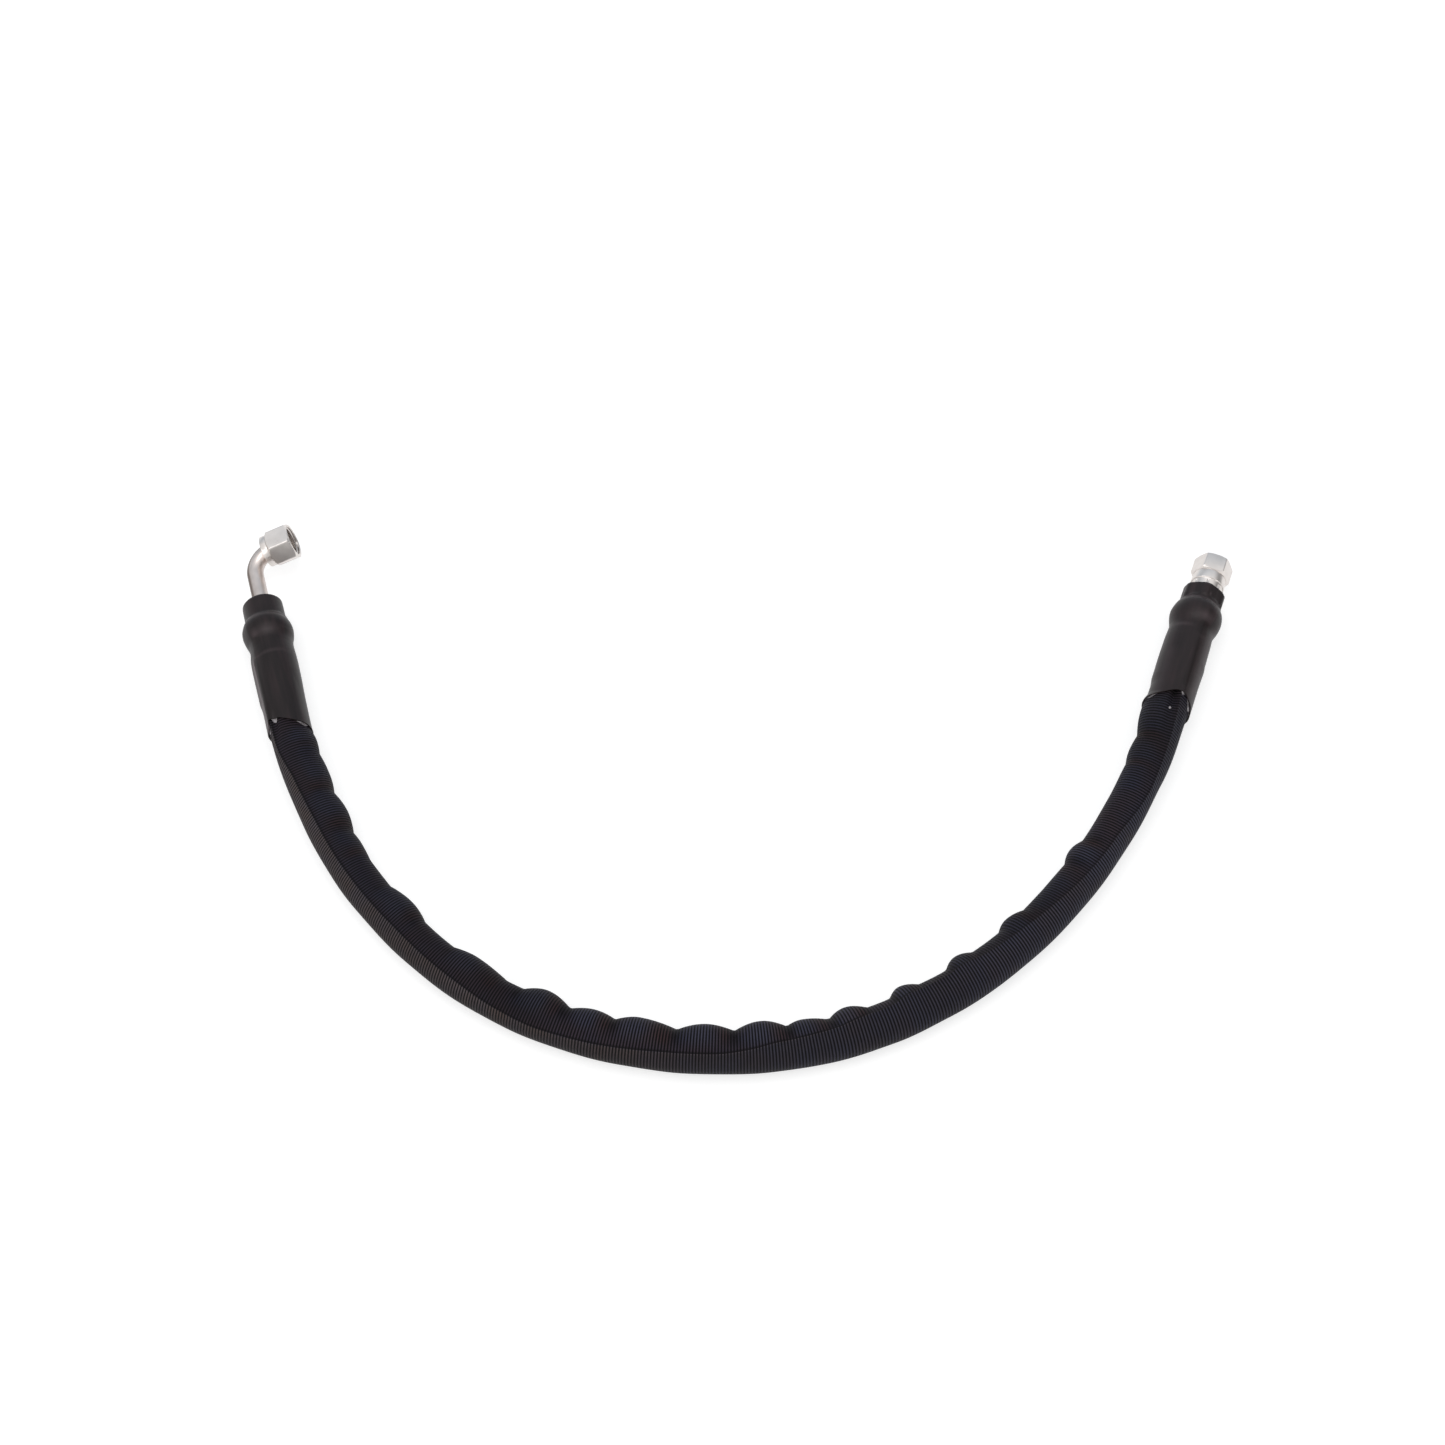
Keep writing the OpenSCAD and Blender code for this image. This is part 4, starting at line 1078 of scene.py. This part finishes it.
# %% The hot melt and the rubber
glue_finish, tree, shader = new_finish(
    "glossy_hot_melt", Roughness=0.16, IOR=1.48, Subsurface_Weight=0.4,
    Subsurface_Radius=(0.002, 0.0018, 0.0015))
position = add(tree, "TexCoord")["Object"]
cloudy = add(tree, "TexNoise", {"Vector": position, "Scale": 350.0})["Fac"]
milky = add(tree, "ValToRGB", (cloudy,), [(0.35, "#4a4648"), (0.65, "#a39ea1")])["Color"]
fill(shader, {"Base Color": milky})
for glue, shrink in heat_shrinks.values():
    dress(glue, glue_finish)
    dress(shrink, shrink_finish)

rubber, tree, shader = new_finish("moulded_black_rubber", Roughness=0.7)
position = add(tree, "TexCoord")["Object"]
marked = add(tree, "TexNoise", {"Vector": position, "Scale": 1400.0, "Detail": 2.0})["Fac"]
colour = add(tree, "ValToRGB", (marked,), [(0.3, "#141414"), (0.7, "#232324")])["Color"]
relief = add(tree, "Bump", {"Height": marked, "Strength": 0.4, "Distance": 0.1 * MM})
fill(shader, {"Base Color": colour, "Normal": relief["Normal"]})

# %% [markdown]
# The braids are brassed steel wire, laid both ways round the hose. Two slanting waves 0.7 mm apart
# stand for the bundles, since single wires 0.3 mm thick would be too fine to show.

# %% The braid
BRAID_WAVE, BRAID_SLANT = 9000.0, 1.38
braid, tree, shader = new_finish("brassed_wire_braid", Roughness=0.35, Metallic=1.0)
ply_uv = add(tree, "SeparateXYZ", (add(tree, "UVMap", uv_map="cloth")["UV"],))
slant = add(tree, "Math", (ply_uv["Y"], BRAID_SLANT), operation="MULTIPLY")[0]
ways = []
for how in ("ADD", "SUBTRACT"):
    way = add(tree, "Math", (ply_uv["X"], slant), operation=how)[0]
    way = add(tree, "Math", (way, BRAID_WAVE), operation="MULTIPLY")[0]
    ways.append(add(tree, "Math", (way,), operation="SINE")[0])
wires = add(tree, "Math", ways, operation="MAXIMUM")[0]
wires = add(tree, "Math", (wires, 0.5, 0.5), operation="MULTIPLY_ADD")[0]
colour = add(tree, "ValToRGB", (wires,), [(0.2, "#5c4a22"), (0.9, "#c9ae6a")])["Color"]
relief = add(tree, "Bump", {"Height": wires, "Strength": 0.6, "Distance": 0.3 * MM})
fill(shader, {"Base Color": colour, "Normal": relief["Normal"]})
for node_name, ply in plies.items():
    dress(ply, braid if "braid" in node_name else rubber)

# %% [markdown]
# ## Zinc-plated steel
# All the fittings are steel with a thin, bright zinc plating. The nuts are machined from bar and
# shine most, with a warm, slightly yellow cast. The drawn tube is smoother and greyer. What is
# turned or cut has a grain of 0.15 mm from the tool, drawn here at 0.4 to 0.8 mm so that it shows.

# %% The steel finishes
def zinc(name, dull, bright, rough_from, rough_to, grain, depth):
    """Zinc plating: colour and gloss cloudy over about 8 mm, on a grain of the given size and
    depth in mm. A dark brown reflection is painted where a piece's attribute says so."""
    finish, tree, shader = new_finish(name, Metallic=1.0)
    position = add(tree, "TexCoord")["Object"]
    cloudy, fine = (
        add(tree, "TexNoise", {"Vector": position, "Scale": scale, "Detail": detail})["Fac"]
        for scale, detail in ((130.0, 4.0), (1 / (grain * MM), 3.0)))
    painted_dark_reflection = add(tree, "Attribute", attribute_name="painted_dark_reflection")["Fac"]
    colour = add(tree, "ValToRGB", (cloudy,), [(0.3, dull), (0.7, bright)])["Color"]
    # The painted dark brown reflection, where the attribute read above says so.
    colour = add(tree, "Mix", {0: painted_dark_reflection, 6: colour, 7: light("#5f534c")}, data_type="RGBA")[2]
    rough = add(tree, "MapRange", {"Value": cloudy, "To Min": rough_from, "To Max": rough_to})[0]
    relief = add(tree, "Bump", {"Height": fine, "Strength": 0.2, "Distance": depth * MM})
    fill(shader, {"Base Color": colour, "Roughness": rough, "Normal": relief["Normal"]})
    return finish


nut_steel = zinc("machined_zinc_plated_steel", "#d6d0cc", "#e4deda", 0.25, 0.34, 0.5, 0.03)
tube_steel = zinc("drawn_zinc_plated_steel", "#c8bfba", "#dbd1cc", 0.26, 0.36, 0.8, 0.05)
turned_steel = zinc("turned_zinc_plated_steel", "#cfc9c5", "#ded8d4", 0.24, 0.36, 0.4, 0.05)
dress(elbow_nut, nut_steel)
dress(straight_nut, nut_steel)
dress(tube, tube_steel)
for node_name in ("elbow_hose_tail", "elbow_flare_seat", "elbow_ferrule", "straight_hose_tail",
                  "straight_ferrule"):
    dress(nodes[node_name], turned_steel)

# %% [markdown]
# ## The studio
# The assembly lies on a pale table under one broad softbox overhead and two smaller ones in
# front. The table shines a little by itself in what is seen, so that it comes out white without
# more light on the hose, and it keeps a soft shadow. It isn't sampled as a lamp, because its light
# would then be missing in what the metal mirrors.

# %% The table
TABLE_GLOW, CAMERA_GLOW = 0.62, 0.05  # the glow in all that is seen, and a little more directly


def ray_kinds(tree):
    """Two values: 1 for the camera's own rays, and 1 for those and what mirrors and glass show."""
    rays = add(tree, "LightPath")
    seen = rays["Is Camera Ray"]
    for other in ("Is Glossy Ray", "Is Transmission Ray"):
        seen = add(tree, "Math", (seen, rays[other]), operation="MAXIMUM")[0]
    return rays["Is Camera Ray"], seen


lay_down_tools()
bpy.ops.mesh.primitive_plane_add(size=40, location=(0, 0, 0))
table = bpy.context.object
table.name = "table"
table_finish, tree, shader = new_finish(
    "matt_white_table", Roughness=0.9, Specular_IOR_Level=0.1, Base_Color=light("#bebebe"),
    Emission_Color=light("#ffffff"))
by_camera, seen = ray_kinds(tree)
glow = add(tree, "Math", (seen, TABLE_GLOW), operation="MULTIPLY")[0]
glow = add(tree, "Math", (by_camera, CAMERA_GLOW, glow), operation="MULTIPLY_ADD")[0]
fill(shader, {"Emission Strength": glow})
table_finish.cycles.emission_sampling = "NONE"
dress(table, table_finish)

# %% [markdown]
# Around the table is a white backdrop. It lights things evenly, a little bluer from the back, and
# the camera sees it plain white. Only mirrors see its dimmer band between the walls and the
# ceiling and its dimmer right side, which give the metal something darker to show.

# %% The backdrop
ROOM_LIGHT = 0.58  # how strongly the backdrop lights what isn't a mirror
world = bpy.data.worlds.new("studio")
scene.world = world
world.use_nodes = True
tree = world.node_tree
towards = add(tree, "SeparateXYZ", (add(tree, "TexCoord")["Generated"],))
ceiling, right, tint = (add(tree, "ValToRGB", (towards[axis],), stops)["Color"] for axis, stops in (
    ("Z", [(0.2, "#ffffff"), (0.42, "#d0d0d0"), (0.68, "#ffffff")]),
    ("X", [(0.55, "#ffffff"), (0.78, "#c4c4c4"), (0.97, "#8a8a8a")]),
    ("Y", [(0.2, "#ffffff"), (0.7, "#e1e9f1")])))
mirrored = add(tree, "Math", (ceiling, right), operation="MULTIPLY")[0]
by_camera, seen = ray_kinds(tree)
strength = add(tree, "Mix", {0: seen, 2: ROOM_LIGHT, 3: mirrored})[0]
strength = add(tree, "Mix", {0: by_camera, 2: strength, 3: 1.0})[0]
colour = add(tree, "Mix", {0: by_camera, 6: tint, 7: light("#ffffff")}, data_type="RGBA")[2]
fill(tree.nodes["Background"], {"Strength": strength, "Color": colour})


# %% The softboxes
def softbox(name, location, size, radiance):
    """A round softbox that faces the hose. Its power follows from its radiance and its area."""
    lamp = bpy.data.lights.new(name, "AREA")
    lamp.shape = "DISK"
    lamp.size = size
    lamp.energy = radiance * (math.pi * size / 2) ** 2
    holder = bpy.data.objects.new(name, lamp)
    scene.collection.objects.link(holder)
    holder.location = location
    holder.rotation_euler = (-Vector(location)).to_track_quat("-Z", "Y").to_euler()


softbox("overhead", (-0.3, -0.2, 2.3), 2.0, 1.5)
softbox("front_left", (-1.6, -1.2, 1.1), 1.3, 1.6)
softbox("front_right", (1.5, -1.4, 1.2), 1.3, 1.3)
scene.view_settings.view_transform = "Standard"
